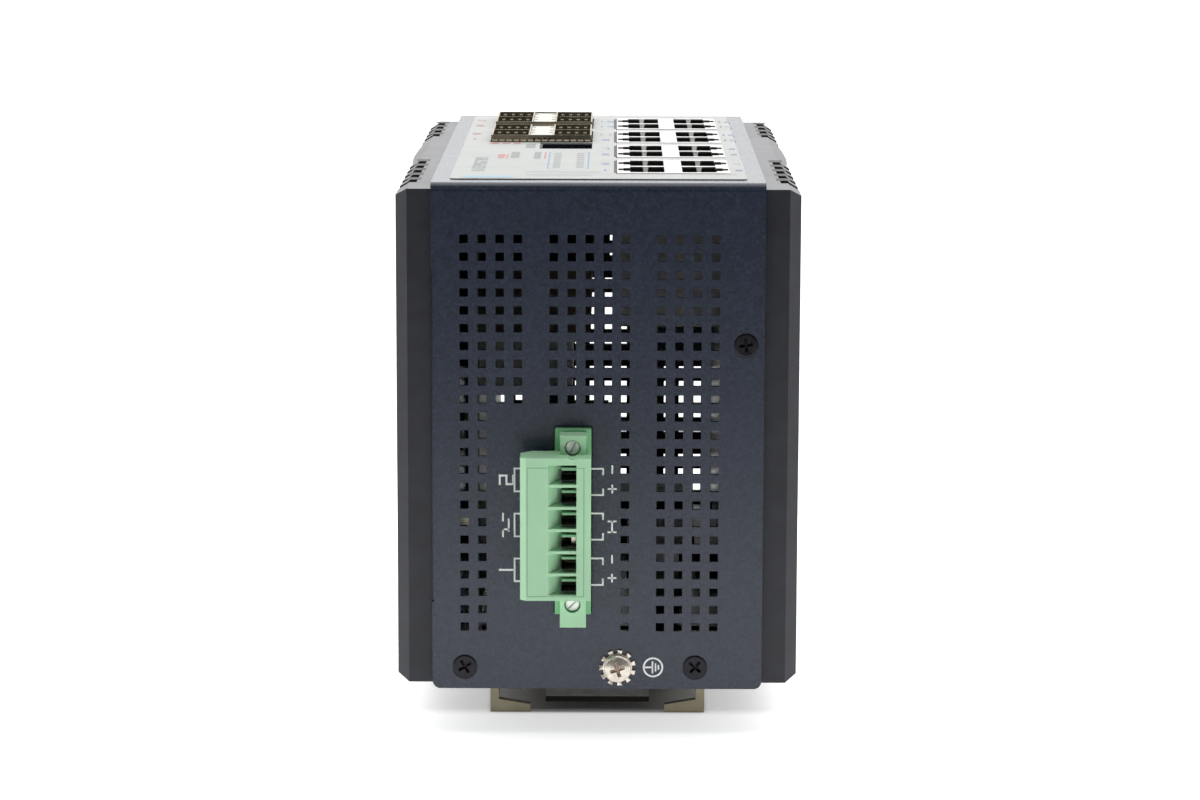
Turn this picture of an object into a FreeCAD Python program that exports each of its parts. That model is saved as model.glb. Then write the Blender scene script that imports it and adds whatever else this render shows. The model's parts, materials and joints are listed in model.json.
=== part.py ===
"""DIN rail Ethernet switch, standing on its rail clip with the port panel up.

Frame, in millimetres: X across the case, Y from the near perforated panel (which
carries the power terminal) to the far one, Z up from the lowest face of the clip.
The origin is the middle of the bottom of the whole outline.
A depth is counted along +Y from the near panel's outer face, and a height along +Z
from the outer face of the case's back.
"""
import FreeCAD, Part
import math
import os

import Sketcher

Vector = FreeCAD.Vector
Rotation = FreeCAD.Rotation
doc = FreeCAD.newDocument("din_rail_switch")
sheet = doc.addObject("Spreadsheet::Sheet", "Sizes")


# ---------------------------------------------------------------- named sizes

class Size:
    """A length that knows both its value and the expression that gives it."""

    def __init__(self, value, text):
        self.value = float(value)
        self.text = text

    def __add__(self, other):
        other = as_size(other)
        return Size(self.value + other.value, f"({self.text} + {other.text})")

    def __sub__(self, other):
        other = as_size(other)
        return Size(self.value - other.value, f"({self.text} - {other.text})")

    def __mul__(self, other):
        other = as_size(other)
        return Size(self.value * other.value, f"({self.text} * {other.text})")

    def __truediv__(self, other):
        other = as_size(other)
        return Size(self.value / other.value, f"({self.text} / {other.text})")

    def __neg__(self):
        return Size(-self.value, f"(0 - {self.text})")

    def __abs__(self):
        return Size(abs(self.value), f"abs({self.text})")

    def __rsub__(self, other):
        return as_size(other) - self

    __radd__ = __add__
    __rmul__ = __mul__


def as_size(value):
    """A Size as it is, or a plain number turned into one."""
    if isinstance(value, Size):
        return value
    return Size(value, f"({float(value):.6f})")


def size(alias, value):
    """Write one driving size into the sheet and return it."""
    size.row += 1
    cell = f"B{size.row}"
    sheet.set(f"A{size.row}", alias)
    sheet.set(cell, str(value))
    sheet.setAlias(cell, alias)
    return Size(value, f"Sizes.{alias}")


size.row = 0

# the folded case
case_width = size("case_width", 74.3)
case_length = size("case_length", 168.0)
case_height = size("case_height", 114.8)
sheet_metal = size("sheet_metal", 1.2)
bend_inside = size("bend_inside", 0.8)
corner_round = size("corner_round", 1.8)
sheet_gap = size("sheet_gap", 0.1)
edge_slit_depth = size("edge_slit_depth", 0.4)
edge_slit_low = size("edge_slit_low", 20.0)
edge_slit_high = size("edge_slit_high", 96.0)

# the clip under the case and what stands out of the near panel
clip_height = size("clip_height", 10.6)
plug_proud = size("plug_proud", 12.0)

# perforation: square holes on a square grid
hole_side = size("hole_side", 1.9)
hole_pitch = size("hole_pitch", 4.0)
first_column = size("first_column", -29.84)
top_row = size("top_row", 102.3)
full_rows = size("full_rows", 10)
short_rows = size("short_rows", 13)
far_first_row = size("far_first_row", 13)
far_rows = size("far_rows", 10)
far_middle_row = size("far_middle_row", 5)
FULL_COLUMNS = (0, 1, 2, 3, 5, 6, 7, 8, 9, 11, 12, 13, 14)
MIDDLE_COLUMNS = (5, 6, 7, 8, 9)
SHORT_COLUMNS = (0, 1, 9, 11, 12, 13, 14)

# countersunk case screws and the tabs that take them
screw_radius = size("screw_radius", 1.5)
shank_radius = size("shank_radius", 1.25)
thread_fit = size("thread_fit", 0.05)
screw_length = size("screw_length", 6.0)
sink_head_radius = size("sink_head_radius", 2.8)
head_clearance = size("head_clearance", 0.05)
tab_width = size("tab_width", 9.6)
tab_height = size("tab_height", 9.5)
low_screw_height = size("low_screw_height", 5.0)
left_screw_x = size("left_screw_x", -29.85)
right_screw_x = size("right_screw_x", 22.1)
high_screw_x = size("high_screw_x", 33.0)
high_screw_height = size("high_screw_height", 78.6)
high_tab_reach = size("high_tab_reach", 5.6)
ground_x = size("ground_x", 4.6)
ground_washer_radius = size("ground_washer_radius", 4.15)
ground_washer_thick = size("ground_washer_thick", 0.8)
ground_head_radius = size("ground_head_radius", 3.05)
ground_head_height = size("ground_head_height", 2.0)

# heat sinks on both side walls
fin_gap_count = size("fin_gap_count", 5)
far_gap_count = size("far_gap_count", 4)
heatsink_start = size("heatsink_start", 2.0)
heatsink_end = size("heatsink_end", 166.0)
heatsink_low = size("heatsink_low", 1.0)
heatsink_high = size("heatsink_high", 113.2)
heatsink_seat = size("heatsink_seat", 0.1)
heatsink_plate = size("heatsink_plate", 3.8)
heatsink_reach = size("heatsink_reach", 7.9)
heatsink_chamfer = size("heatsink_chamfer", 2.6)
heatsink_edge = size("heatsink_edge", 1.6)
heatsink_bevel = size("heatsink_bevel", 3.2)
lobe_rise = size("lobe_rise", 1.0)
lobe_start = size("lobe_start", 66.0)
lobe_end = size("lobe_end", 119.0)
fin_first = size("fin_first", 15.5)
fin_far_first = size("fin_far_first", 124.5)
fin_pitch = size("fin_pitch", 10.2)
fin_gap = size("fin_gap", 5.4)

# shielded modular jack blocks, two ports wide and two high
jack_left = size("jack_left", 4.2)
jack_right = size("jack_right", 29.7)
jack_block_length = size("jack_block_length", 29.8)
jack_depth = size("jack_depth", 35.0)
jack_first = size("jack_first", 32.4)
jack_pitch = size("jack_pitch", 35.65)
jack_port_half = size("jack_port_half", 6.99)
jack_cavity_depth = size("jack_cavity_depth", 14.0)
jack_mouth = size("jack_mouth", 11.8)
jack_mouth_height = size("jack_mouth_height", 7.7)
jack_mouth_start = size("jack_mouth_start", 3.0)
latch_width = size("latch_width", 6.2)
latch_step = size("latch_step", 1.5)
latch_tip_width = size("latch_tip_width", 3.8)
latch_tip = size("latch_tip", 1.2)
shield_skin = size("shield_skin", 0.3)
shield_fit = size("shield_fit", 0.05)
cutout_fit = size("cutout_fit", 0.25)
jack_proud = size("jack_proud", 0.4)

# stacked pluggable-module cages, two wide and two high
cage_left = size("cage_left", -26.7)
cage_right = size("cage_right", -2.1)
cage_length = size("cage_length", 28.2)
cage_depth = size("cage_depth", 48.8)
cage_proud = size("cage_proud", 2.0)
cage_channel = size("cage_channel", 8.0)
cage_skin = size("cage_skin", 0.35)
cage_first = size("cage_first", 104.9)
cage_pitch = size("cage_pitch", 36.0)
cage_mouth = size("cage_mouth", 8.8)
cage_port_half = size("cage_port_half", 7.03)
gasket_rim = size("gasket_rim", 1.8)
gasket_thick = size("gasket_thick", 0.9)
connector_height = size("connector_height", 10.0)
module_slot = size("module_slot", 2.0)

# console jack
console_left = size("console_left", -14.2)
console_right = size("console_right", -2.1)
console_start = size("console_start", 74.6)
console_length = size("console_length", 12.6)
console_depth = size("console_depth", 21.0)

# printed film on the port panel, and the light guides under it
film_thick = size("film_thick", 0.25)
film_half_width = size("film_half_width", 33.2)
film_start = size("film_start", 6.5)
film_end = size("film_end", 161.5)
film_round = size("film_round", 1.5)
guide_width = size("guide_width", 2.2)
guide_start = size("guide_start", 29.0)
guide_length = size("guide_length", 36.0)
guide_depth = size("guide_depth", 9.0)
guide_left_x = size("guide_left_x", -9.8)
guide_right_x = size("guide_right_x", -4.4)

# boards
board_thick = size("board_thick", 1.6)
board_start = size("board_start", 7.0)
board_end = size("board_end", 161.0)
board_low = size("board_low", 14.0)
board_high = size("board_high", 111.0)
power_board_height = size("power_board_height", 9.0)
power_board_start = size("power_board_start", 17.0)
terminal_board_depth = size("terminal_board_depth", 11.5)
terminal_board_left = size("terminal_board_left", -20.5)
terminal_board_right = size("terminal_board_right", 2.4)
standoff_flats = size("standoff_flats", 5.0)
fixing_near = size("fixing_near", 15.0)
fixing_far = size("fixing_far", 153.0)
fixing_low = size("fixing_low", 36.0)
fixing_high = size("fixing_high", 106.0)
post_x = size("post_x", 20.0)
post_near = size("post_near", 54.0)
post_far = size("post_far", 150.0)

# switching chips and their path to the heat sinks
chip_side = size("chip_side", 31.0)
chip_thick = size("chip_thick", 2.2)
chip_depth = size("chip_depth", 84.0)
chip_height = size("chip_height", 80.0)
pad_thick = size("pad_thick", 0.8)
pedestal_side = size("pedestal_side", 34.0)
window_gap = size("window_gap", 1.0)
phy_side = size("phy_side", 14.0)
phy_thick = size("phy_thick", 1.2)
phy_height = size("phy_height", 40.0)

# capacitors, coils and links between boards
can_radius = size("can_radius", 8.0)
can_height = size("can_height", 25.0)
can_x = size("can_x", -11.5)
can_depth = size("can_depth", 50.0)
can_spacing = size("can_spacing", 22.0)
film_can_length = size("film_can_length", 13.0)
film_can_height = size("film_can_height", 20.0)
film_can_depth = size("film_can_depth", 91.5)
film_can_spacing = size("film_can_spacing", 18.0)
film_can_level = size("film_can_level", 53.5)
choke_side = size("choke_side", 14.0)
choke_height = size("choke_height", 9.0)
choke_depth = size("choke_depth", 64.0)
choke_spacing = size("choke_spacing", 24.0)
core_width = size("core_width", 20.0)
core_height = size("core_height", 11.0)
core_depth = size("core_depth", 114.0)
relay_depth = size("relay_depth", 28.0)
relay_length = size("relay_length", 20.0)
relay_width = size("relay_width", 10.0)
relay_height = size("relay_height", 12.5)
parts_x = size("parts_x", 14.0)
link_length = size("link_length", 40.0)
link_width = size("link_width", 6.0)
link_height = size("link_height", 6.5)
link_start = size("link_start", 72.0)

# six-pole pluggable terminal
pole_count = size("pole_count", 6)
pole_pitch = size("pole_pitch", 5.0)
pole_first = size("pole_first", 26.4)
header_left = size("header_left", -9.5)
header_right = size("header_right", -1.4)
pole_last = pole_first + pole_pitch * (pole_count - 1)
header_low = pole_first - size("header_end_low", 8.6)
header_high = pole_last + size("header_end_high", 8.5)
terminal_board_low = pole_first - size("terminal_board_end_low", 14.8)
terminal_board_high = pole_last + size("terminal_board_end_high", 12.6)
header_proud = size("header_proud", 2.4)
header_wall = size("header_wall", 0.9)
header_floor = size("header_floor", 2.0)
plug_left = size("plug_left", -17.1)
plug_low = pole_first - size("plug_end_low", 3.4)
plug_high = pole_last + size("plug_end_high", 3.7)
plug_ear_left = size("plug_ear_left", -8.3)
plug_ear_right = size("plug_ear_right", -2.5)
plug_ear_low = pole_first - size("plug_ear_end_low", 10.5)
plug_ear_high = pole_last + size("plug_ear_end_high", 8.0)
plug_ear_front = size("plug_ear_front", 7.5)
plug_tongue = size("plug_tongue", 7.6)
plug_step = size("plug_step", 2.6)
plug_side_step = size("plug_side_step", 5.2)
wire_slot_left = size("wire_slot_left", -7.9)
wire_slot_right = size("wire_slot_right", -4.6)
wire_slot_height = size("wire_slot_height", 2.9)
wire_slot_depth = size("wire_slot_depth", 13.0)
funnel_left = size("funnel_left", -10.9)
funnel_depth = size("funnel_depth", 3.4)
funnel_lip = size("funnel_lip", 0.75)
clamp_screw_radius = size("clamp_screw_radius", 1.7)
clamp_hole_radius = clamp_screw_radius + size("clamp_fit", 0.2)
clamp_axis_depth = size("clamp_axis_depth", 6.2)
ear_screw_x = size("ear_screw_x", -5.5)
ear_screw_low = pole_first - size("ear_screw_end_low", 5.4)
ear_screw_high = pole_last + size("ear_screw_end_high", 5.2)
ear_screw_radius = size("ear_screw_radius", 1.6)
ear_head_height = size("ear_head_height", 1.8)
ear_pocket_radius = ear_screw_radius + size("ear_fit", 0.2)
pin_side = size("pin_side", 1.0)

# clip for a 35 mm rail
clip_half_width = size("clip_half_width", 24.8)
clip_start = size("clip_start", 20.0)
clip_end = size("clip_end", 100.0)
clip_sheet = size("clip_sheet", 2.0)
clip_screw_first = size("clip_screw_first", 38.0)
clip_screw_second = size("clip_screw_second", 91.0)
rail_width = size("rail_width", 35.0)
rail_clearance = size("rail_clearance", 0.6)
rail_flange_gap = size("rail_flange_gap", 1.6)
rail_seat = size("rail_seat", 7.0)
hook_width = size("hook_width", 9.3)
hook_reach = size("hook_reach", 4.0)
catch_reach = size("catch_reach", 1.2)
foot_outer = size("foot_outer", 3.4)
foot_inner = size("foot_inner", 1.8)
spring_room = size("spring_room", 1.6)
spring_thick = size("spring_thick", 0.6)
spring_tail = size("spring_tail", 24.0)
spring_half_width = size("spring_half_width", 12.0)
pan_head_height = size("pan_head_height", 2.0)

doc.recompute()

# places that follow from the sizes above
near_y = (plug_proud - case_length) / 2
far_y = near_y + case_length
half_width = case_width / 2
outer_bend = bend_inside + sheet_metal
tap_radius = shank_radius + thread_fit
wall_inside = half_width - sheet_metal
panel_inside = case_height - sheet_metal


def at_depth(depth):
    """Y of a depth behind the near panel's outer face."""
    return near_y + depth


def at_height(height):
    """Z of a height above the case's back."""
    return clip_height + height


# ------------------------------------------------------------ building blocks

def bind(item, prop, amount):
    """Tie one property of an object to the sheet."""
    item.setExpression(prop, as_size(amount).text)


def add(kind, name):
    return doc.addObject(kind, name)


def place(item, x, y, z, rotation=None):
    """Tie an object's position to the sheet, with an optional fixed turn."""
    if rotation is not None:
        item.Placement = FreeCAD.Placement(Vector(0, 0, 0), rotation)
    for axis, amount in zip("xyz", (x, y, z)):
        bind(item, f"Placement.Base.{axis}", amount)


def box(name, x, y, z):
    """A block between two X, two Y and two Z values."""
    item = add("Part::Box", name)
    for prop, span in zip(("Length", "Width", "Height"), (x, y, z)):
        bind(item, prop, as_size(span[1]) - as_size(span[0]))
    place(item, x[0], y[0], z[0])
    return item


TURNS = {
    "+X": Rotation(Vector(0, 1, 0), 90),
    "-X": Rotation(Vector(0, 1, 0), -90),
    "+Y": Rotation(Vector(1, 0, 0), -90),
    "-Y": Rotation(Vector(1, 0, 0), 90),
    "+Z": Rotation(),
    "-Z": Rotation(Vector(1, 0, 0), 180),
}


def rod(name, radius, length, start, direction):
    """A cylinder from a start point along one of the six axis directions."""
    item = add("Part::Cylinder", name)
    bind(item, "Radius", radius)
    bind(item, "Height", length)
    place(item, *start, TURNS[direction])
    return item


def cone(name, radius, end_radius, length, start, direction):
    item = add("Part::Cone", name)
    bind(item, "Radius1", radius)
    bind(item, "Radius2", end_radius)
    bind(item, "Height", length)
    place(item, *start, TURNS[direction])
    return item


def hexagon(name, flats, length, start, direction):
    """A hexagonal bar measured across its flats."""
    item = add("Part::Prism", name)
    item.Polygon = 6
    bind(item, "Circumradius", flats / math.sqrt(3))
    bind(item, "Height", length)
    place(item, *start, TURNS[direction])
    return item


def cut(name, base, tools):
    item = add("Part::Cut", name)
    item.Base = base
    item.Tool = tools[0] if len(tools) == 1 else group(name + "_tools", tools)
    return item


def fuse(name, shapes):
    item = add("Part::MultiFuse", name)
    item.Shapes = shapes
    item.Refine = True
    return item


def group(name, shapes):
    """Separate solids that share one node."""
    item = add("Part::Compound", name)
    item.Links = shapes
    return item


PLANES = {
    "XY": ("XY_Plane", 1),
    "XZ": ("XZ_Plane", -1),
    "YZ": ("YZ_Plane", 1),
}


def new_body(name):
    return add("PartDesign::Body", name)


def sketch(body, name, plane, offset, loops, circles=()):
    """Closed outlines on a plane of the body, every corner tied to the sheet.

    A corner is (u, v), or (u, v, rise) where the edge that starts there is an
    arc standing that far out on the right-hand side of the way it runs.
    """
    role, sign = PLANES[plane]
    item = body.newObject("Sketcher::SketchObject", name)
    origin_plane = [f for f in body.Origin.OriginFeatures if f.Role == role][0]
    item.AttachmentSupport = [(origin_plane, "")]
    item.MapMode = "FlatFace"
    bind(item, "AttachmentOffset.Base.z", as_size(offset) * sign)
    drawing = Drawing()
    for loop in loops:
        drawing.add_loop(loop)
    for centre_u, centre_v, radius in circles:
        drawing.add_circle(as_size(centre_u), as_size(centre_v), as_size(radius))
    drawing.write(item)
    return item


def arc_through(start, end, rise):
    """The arc from start to end that stands a rise out to the right."""
    chord = end - start
    side = Vector(chord.y, -chord.x, 0).normalize()
    middle = (start + end) * 0.5 + side * rise
    return Part.Arc(start, middle, end)


class Drawing:
    """Edges of one sketch, with the joins and the driving dimensions they get."""

    def __init__(self):
        self.shapes = []
        self.joins = []
        self.ties = []

    def tie(self, kind, references, amount):
        constraint = Sketcher.Constraint(kind, *references, amount.value)
        self.ties.append((constraint, amount.text))

    def add_loop(self, loop):
        corners = [(as_size(c[0]), as_size(c[1])) for c in loop]
        points = [Vector(u.value, v.value, 0) for u, v in corners]
        first, count = len(self.shapes), len(loop)
        ends = []
        for number, corner in enumerate(loop):
            start, end = points[number], points[(number + 1) % count]
            if len(corner) == 3:
                rise = as_size(corner[2])
                self.shapes.append(arc_through(start, end, rise.value))
                following = corners[(number + 1) % count]
                self.tie("Radius", (first + number,), arc_radius(corners[number], following, rise))
                ends.append((1, 2) if rise.value > 0 else (2, 1))
            else:
                self.shapes.append(Part.LineSegment(start, end))
                ends.append((1, 2))
        for number in range(count):
            after = (number + 1) % count
            references = (first + number, ends[number][1], first + after, ends[after][0])
            self.joins.append(Sketcher.Constraint("Coincident", *references))
            point = (-1, 1, first + number, ends[number][0])
            self.tie("DistanceX", point, corners[number][0])
            self.tie("DistanceY", point, corners[number][1])

    def add_circle(self, u, v, radius):
        number = len(self.shapes)
        self.shapes.append(Part.Circle(Vector(u.value, v.value, 0), Vector(0, 0, 1), radius.value))
        self.tie("DistanceX", (-1, 1, number, 3), u)
        self.tie("DistanceY", (-1, 1, number, 3), v)
        self.tie("Radius", (number,), radius)

    def write(self, item):
        item.addGeometry(self.shapes, False)
        item.addConstraint(self.joins + [constraint for constraint, text in self.ties])
        for number, (constraint, text) in enumerate(self.ties, len(self.joins)):
            item.setExpression(f"Constraints[{number}]", text)


def arc_radius(start, end, rise):
    """Radius of the arc over a chord between two corners."""
    across, along = end[0] - start[0], end[1] - start[1]
    chord_squared = across * across + along * along
    return abs((chord_squared / 4 + rise * rise) / (rise * 2))


def rectangle(u, v):
    return [(u[0], v[0]), (u[1], v[0]), (u[1], v[1]), (u[0], v[1])]


def pad(body, profile, length, backwards=False):
    item = body.newObject("PartDesign::Pad", profile.Name + "_pad")
    item.Profile = profile
    bind(item, "Length", length)
    item.Reversed = backwards
    body.Tip = item
    return item


def pocket(body, profile, length, backwards=False):
    item = body.newObject("PartDesign::Pocket", profile.Name + "_pocket")
    item.Profile = profile
    bind(item, "Length", length)
    item.Reversed = backwards
    body.Tip = item
    return item


def prism(body, name, plane, span, loops, circles=()):
    """Material between two values along the plane's normal."""
    start, end = as_size(span[0]), as_size(span[1])
    profile = sketch(body, name, plane, start, loops, circles)
    return pad(body, profile, end - start, backwards=plane == "XZ")


def carve(body, name, plane, span, loops, circles=()):
    """Material taken away between two values along the plane's normal."""
    start, end = as_size(span[0]), as_size(span[1])
    profile = sketch(body, name, plane, start, loops, circles)
    return pocket(body, profile, end - start, backwards=plane != "XZ")


def edges_where(feature, test):
    """Names of a feature's straight edges whose two ends pass a test."""
    names = []
    for number, edge in enumerate(feature.Shape.Edges, 1):
        ends = [vertex.Point for vertex in edge.Vertexes]
        if len(ends) == 2 and test(*ends):
            names.append(f"Edge{number}")
    return names


def round_edges(body, name, test, radius):
    doc.recompute()
    base = body.Tip
    item = body.newObject("PartDesign::Fillet", name)
    item.Base = (base, edges_where(base, test))
    bind(item, "Radius", radius)
    body.Tip = item
    return item


def near(value, target):
    return abs(value - as_size(target).value) < 1e-4


def repeat(body, name, feature, axis, length, count, backwards=False):
    """A straight row of copies of one feature along a body axis."""
    item = body.newObject("PartDesign::LinearPattern", name)
    item.Originals = [feature]
    line = [f for f in body.Origin.OriginFeatures if f.Role == axis][0]
    item.Direction = (line, [""])
    item.Reversed = backwards
    bind(item, "Length", length)
    bind(item, "Occurrences", count)
    body.Tip = item
    return item


NODES = []


def node(item, name):
    """Give a finished sub-part the name that its file and node carry."""
    item.Label = name
    NODES.append(item)
    return item


# ----------------------------------------------------------------- the casing

def hole_row(columns, height):
    """One row of square holes across the case."""
    half = hole_side / 2
    loops = []
    for column in columns:
        centre = first_column + hole_pitch * column
        level = at_height(height)
        loops.append(rectangle((centre - half, centre + half), (level - half, level + half)))
    return loops


def perforate(body, name, columns, height, rows, span):
    """Square holes on the grid, from one row downwards."""
    first = carve(body, name, "XZ", span, hole_row(columns, height))
    repeat(body, name + "_grid", first, "Z_Axis", hole_pitch * (rows - 1), rows, backwards=True)


def jack_centre(number):
    return jack_first + jack_pitch * number


def cage_centre(number):
    return cage_first + cage_pitch * number


def panel_openings(fit):
    """Outlines of what passes through the port panel, with room around each."""
    loops = []
    for number in range(4):
        low = at_depth(jack_centre(number) - jack_block_length / 2)
        high = at_depth(jack_centre(number) + jack_block_length / 2)
        loops.append(rectangle((jack_left - fit, jack_right + fit), (low - fit, high + fit)))
    for number in range(2):
        low = at_depth(cage_centre(number) - cage_length / 2)
        high = at_depth(cage_centre(number) + cage_length / 2)
        loops.append(rectangle((cage_left - fit, cage_right + fit), (low - fit, high + fit)))
    low = at_depth(console_start)
    high = at_depth(console_start + console_length)
    loops.append(rectangle((console_left - fit, console_right + fit), (low - fit, high + fit)))
    return loops


def guide_outlines(grow):
    """The two long slots for the light guides."""
    half = guide_width / 2 + grow
    loops = []
    for centre in (guide_left_x, guide_right_x):
        low, high = at_depth(guide_start), at_depth(guide_start + guide_length)
        loops.append(rectangle((centre - half, centre + half), (low - grow, high + grow)))
    return loops


# half the cone angle of the screw heads, from head rim to shank over one sheet and its gap
head_drop = sheet_metal + sheet_gap
COUNTERSINK_ANGLE = math.degrees(math.atan((sink_head_radius - shank_radius).value / head_drop.value))
SCREW_PLACES = (
    (left_screw_x, low_screw_height),
    (right_screw_x, low_screw_height),
    (high_screw_x, high_screw_height),
)


def make_shell():
    """Near, port and far panels: one sheet folded twice."""
    body = new_body("shell_body")
    low, high = at_height(0), at_height(case_height)
    inner_near, inner_far = near_y + sheet_metal, far_y - sheet_metal
    section = [
        (near_y, low), (inner_near, low), (inner_near, high - sheet_metal),
        (inner_far, high - sheet_metal), (inner_far, low), (far_y, low),
        (far_y, high), (near_y, high),
    ]
    prism(body, "shell_section", "YZ", (-half_width, half_width), [section])

    def outer_fold(a, b):
        return near(a.z, high) and near(b.z, high) and near(a.y, b.y)

    def inner_fold(a, b):
        return near(a.z, high - sheet_metal) and near(b.z, a.z) and near(a.y, b.y)

    def free_corner(a, b):
        return near(a.z, low) and near(b.z, low) and near(a.x, b.x)

    round_edges(body, "outer_folds", outer_fold, outer_bend)
    round_edges(body, "inner_folds", inner_fold, bend_inside)
    round_edges(body, "free_corners", free_corner, corner_round)

    near_skin, far_skin = (near_y, inner_near), (inner_far, far_y)
    perforate(body, "upper_holes", FULL_COLUMNS, top_row, full_rows, near_skin)
    lower_row = top_row - hole_pitch * full_rows
    perforate(body, "lower_holes", SHORT_COLUMNS, lower_row, short_rows, near_skin)
    far_row = top_row - hole_pitch * far_first_row
    perforate(body, "far_holes", FULL_COLUMNS, far_row, far_rows, far_skin)
    middle_row = top_row - hole_pitch * far_middle_row
    middle_rows = far_first_row - far_middle_row
    perforate(body, "far_middle_holes", MIDDLE_COLUMNS, middle_row, middle_rows, far_skin)

    slit = rectangle(
        (-half_width, edge_slit_depth - half_width),
        (at_height(edge_slit_low), at_height(edge_slit_high)),
    )
    terminal = rectangle(
        (header_left - cutout_fit, header_right + cutout_fit),
        (at_height(header_low) - cutout_fit, at_height(header_high) + cutout_fit),
    )
    carve(body, "near_cutouts", "XZ", near_skin, [slit, terminal])
    ports = panel_openings(cutout_fit) + guide_outlines(cutout_fit)
    carve(body, "port_cutouts", "XY", (high - sheet_metal, high), ports)

    wide = sink_head_radius + head_clearance
    seats = [(x, at_height(height), wide) for x, height in SCREW_PLACES]
    for name, face, reverse in (("near", near_y, False), ("far", far_y, True)):
        profile = sketch(body, name + "_countersinks", "XZ", face, [], seats)
        pocket(body, profile, sheet_metal, backwards=reverse).TaperAngle = -COUNTERSINK_ANGLE
    hole = (ground_x, at_height(low_screw_height), screw_radius + head_clearance)
    carve(body, "ground_hole", "XZ", near_skin, [], [hole])
    node(body, "main_shell")


def window_half():
    return pedestal_side / 2 + window_gap


def make_chassis():
    """Back and both side walls: one sheet folded up at its sides, with screw tabs."""
    body = new_body("chassis_body")
    low, top = at_height(0), at_height(panel_inside - bend_inside)
    floor = at_height(sheet_metal)
    near_end = near_y + sheet_metal + sheet_gap
    far_end = far_y - sheet_metal - sheet_gap
    section = [
        (-half_width, low), (half_width, low), (half_width, top), (wall_inside, top),
        (wall_inside, floor), (-wall_inside, floor), (-wall_inside, top), (-half_width, top),
    ]
    prism(body, "chassis_section", "XZ", (near_end, far_end), [section])

    def outer_fold(a, b):
        return near(a.z, low) and near(b.z, low) and near(a.x, b.x)

    def inner_fold(a, b):
        return near(a.z, floor) and near(b.z, floor) and near(a.x, b.x)

    round_edges(body, "chassis_outer", outer_fold, outer_bend)
    round_edges(body, "chassis_inner", inner_fold, bend_inside)

    places = SCREW_PLACES[:2] + ((ground_x, low_screw_height),)
    half_tab = tab_width / 2
    tabs = [rectangle((x - half_tab, x + half_tab), (low, at_height(tab_height))) for x, z in places]
    level = at_height(high_screw_height)
    side_tab = rectangle(
        (high_screw_x - high_tab_reach, half_width - sheet_metal / 2),
        (level - half_tab, level + half_tab),
    )
    prism(body, "near_tabs", "XZ", (near_end, near_end + sheet_metal), tabs + [side_tab])
    far_tabs = tabs[:2] + [side_tab]
    prism(body, "far_tabs", "XZ", (far_end - sheet_metal, far_end), far_tabs)
    taps = [(x, at_height(z), tap_radius) for x, z in SCREW_PLACES]
    ground_tap = [(ground_x, at_height(low_screw_height), tap_radius)]
    carve(body, "near_taps", "XZ", (near_end, near_end + sheet_metal), [], taps + ground_tap)
    carve(body, "far_taps", "XZ", (far_end - sheet_metal, far_end), [], taps)

    middle, level, half = at_depth(chip_depth), at_height(chip_height), window_half()
    window = rectangle((middle - half, middle + half), (level - half, level + half))
    carve(body, "right_window", "YZ", (wall_inside, half_width), [window])
    carve(body, "left_window", "YZ", (-half_width, -wall_inside), [window])
    carve(body, "clip_taps", "XY", (low, floor), [], [(*p, tap_radius) for p in clip_screw_places()])
    node(body, "chassis")


def clip_screw_places():
    """X and Y of the two screws on the clip's centre line."""
    return [(0, at_depth(depth)) for depth in (clip_screw_first, clip_screw_second)]


# --------------------------------------------------------------- heat sinks

def fin_starts():
    near_zone = [fin_first + fin_pitch * n for n in range(int(fin_gap_count.value))]
    far_zone = [fin_far_first + fin_pitch * n for n in range(int(far_gap_count.value))]
    return near_zone, far_zone


def make_heatsink(name, side, chip_face):
    """An extruded sink: gaps between upright fins and a crowned plain middle."""
    root = half_width + heatsink_seat
    gap_floor, tip = root + heatsink_plate, root + heatsink_reach
    shoulder = tip - lobe_rise / 2
    near_end, far_end = at_depth(heatsink_start), at_depth(heatsink_end)
    round_run = heatsink_chamfer * 2
    near_zone, far_zone = fin_starts()

    def gaps(starts):
        corners = []
        for start in starts:
            opening, closing = at_depth(start), at_depth(start + fin_gap)
            corners += [(tip, opening), (gap_floor, opening), (gap_floor, closing), (tip, closing)]
        return corners

    outline = [(root, near_end), (tip - heatsink_chamfer, near_end), (tip, near_end + heatsink_chamfer)]
    outline += gaps(near_zone)
    outline += [
        (tip, at_depth(lobe_start) - lobe_rise),
        (shoulder, at_depth(lobe_start), lobe_rise),
        (shoulder, at_depth(lobe_end)),
        (tip, at_depth(lobe_end) + lobe_rise),
    ]
    outline += gaps(far_zone)
    outline += [
        (tip, far_end - round_run, heatsink_edge / 2),
        (tip - heatsink_chamfer, far_end),
        (root, far_end),
    ]
    mirrored = []
    for corner in outline:
        x = as_size(corner[0]) * side
        rise = [as_size(corner[2]) * side] if len(corner) == 3 else []
        mirrored.append((x, corner[1], *rise))

    body = new_body(name + "_body")
    low, high = at_height(heatsink_low), at_height(heatsink_high)
    prism(body, name + "_section", "XY", (low, high), [mirrored])
    inner, outer = (tip - heatsink_chamfer) * side, (tip + heatsink_chamfer) * side
    bevels = [
        [(inner, high), (outer, high), (outer, high - heatsink_bevel)],
        [(inner, low), (outer, low), (outer, low + heatsink_bevel)],
    ]
    carve(body, name + "_bevels", "XZ", (near_end, far_end), bevels)
    middle, level, half = at_depth(chip_depth), at_height(chip_height), pedestal_side / 2
    block = rectangle((middle - half, middle + half), (level - half, level + half))
    span = sorted((chip_face + pad_thick * side, root * side), key=lambda edge: edge.value)
    prism(body, name + "_pedestal", "YZ", span, [block])
    node(body, name)


# ------------------------------------------------------------ film and guides

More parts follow.
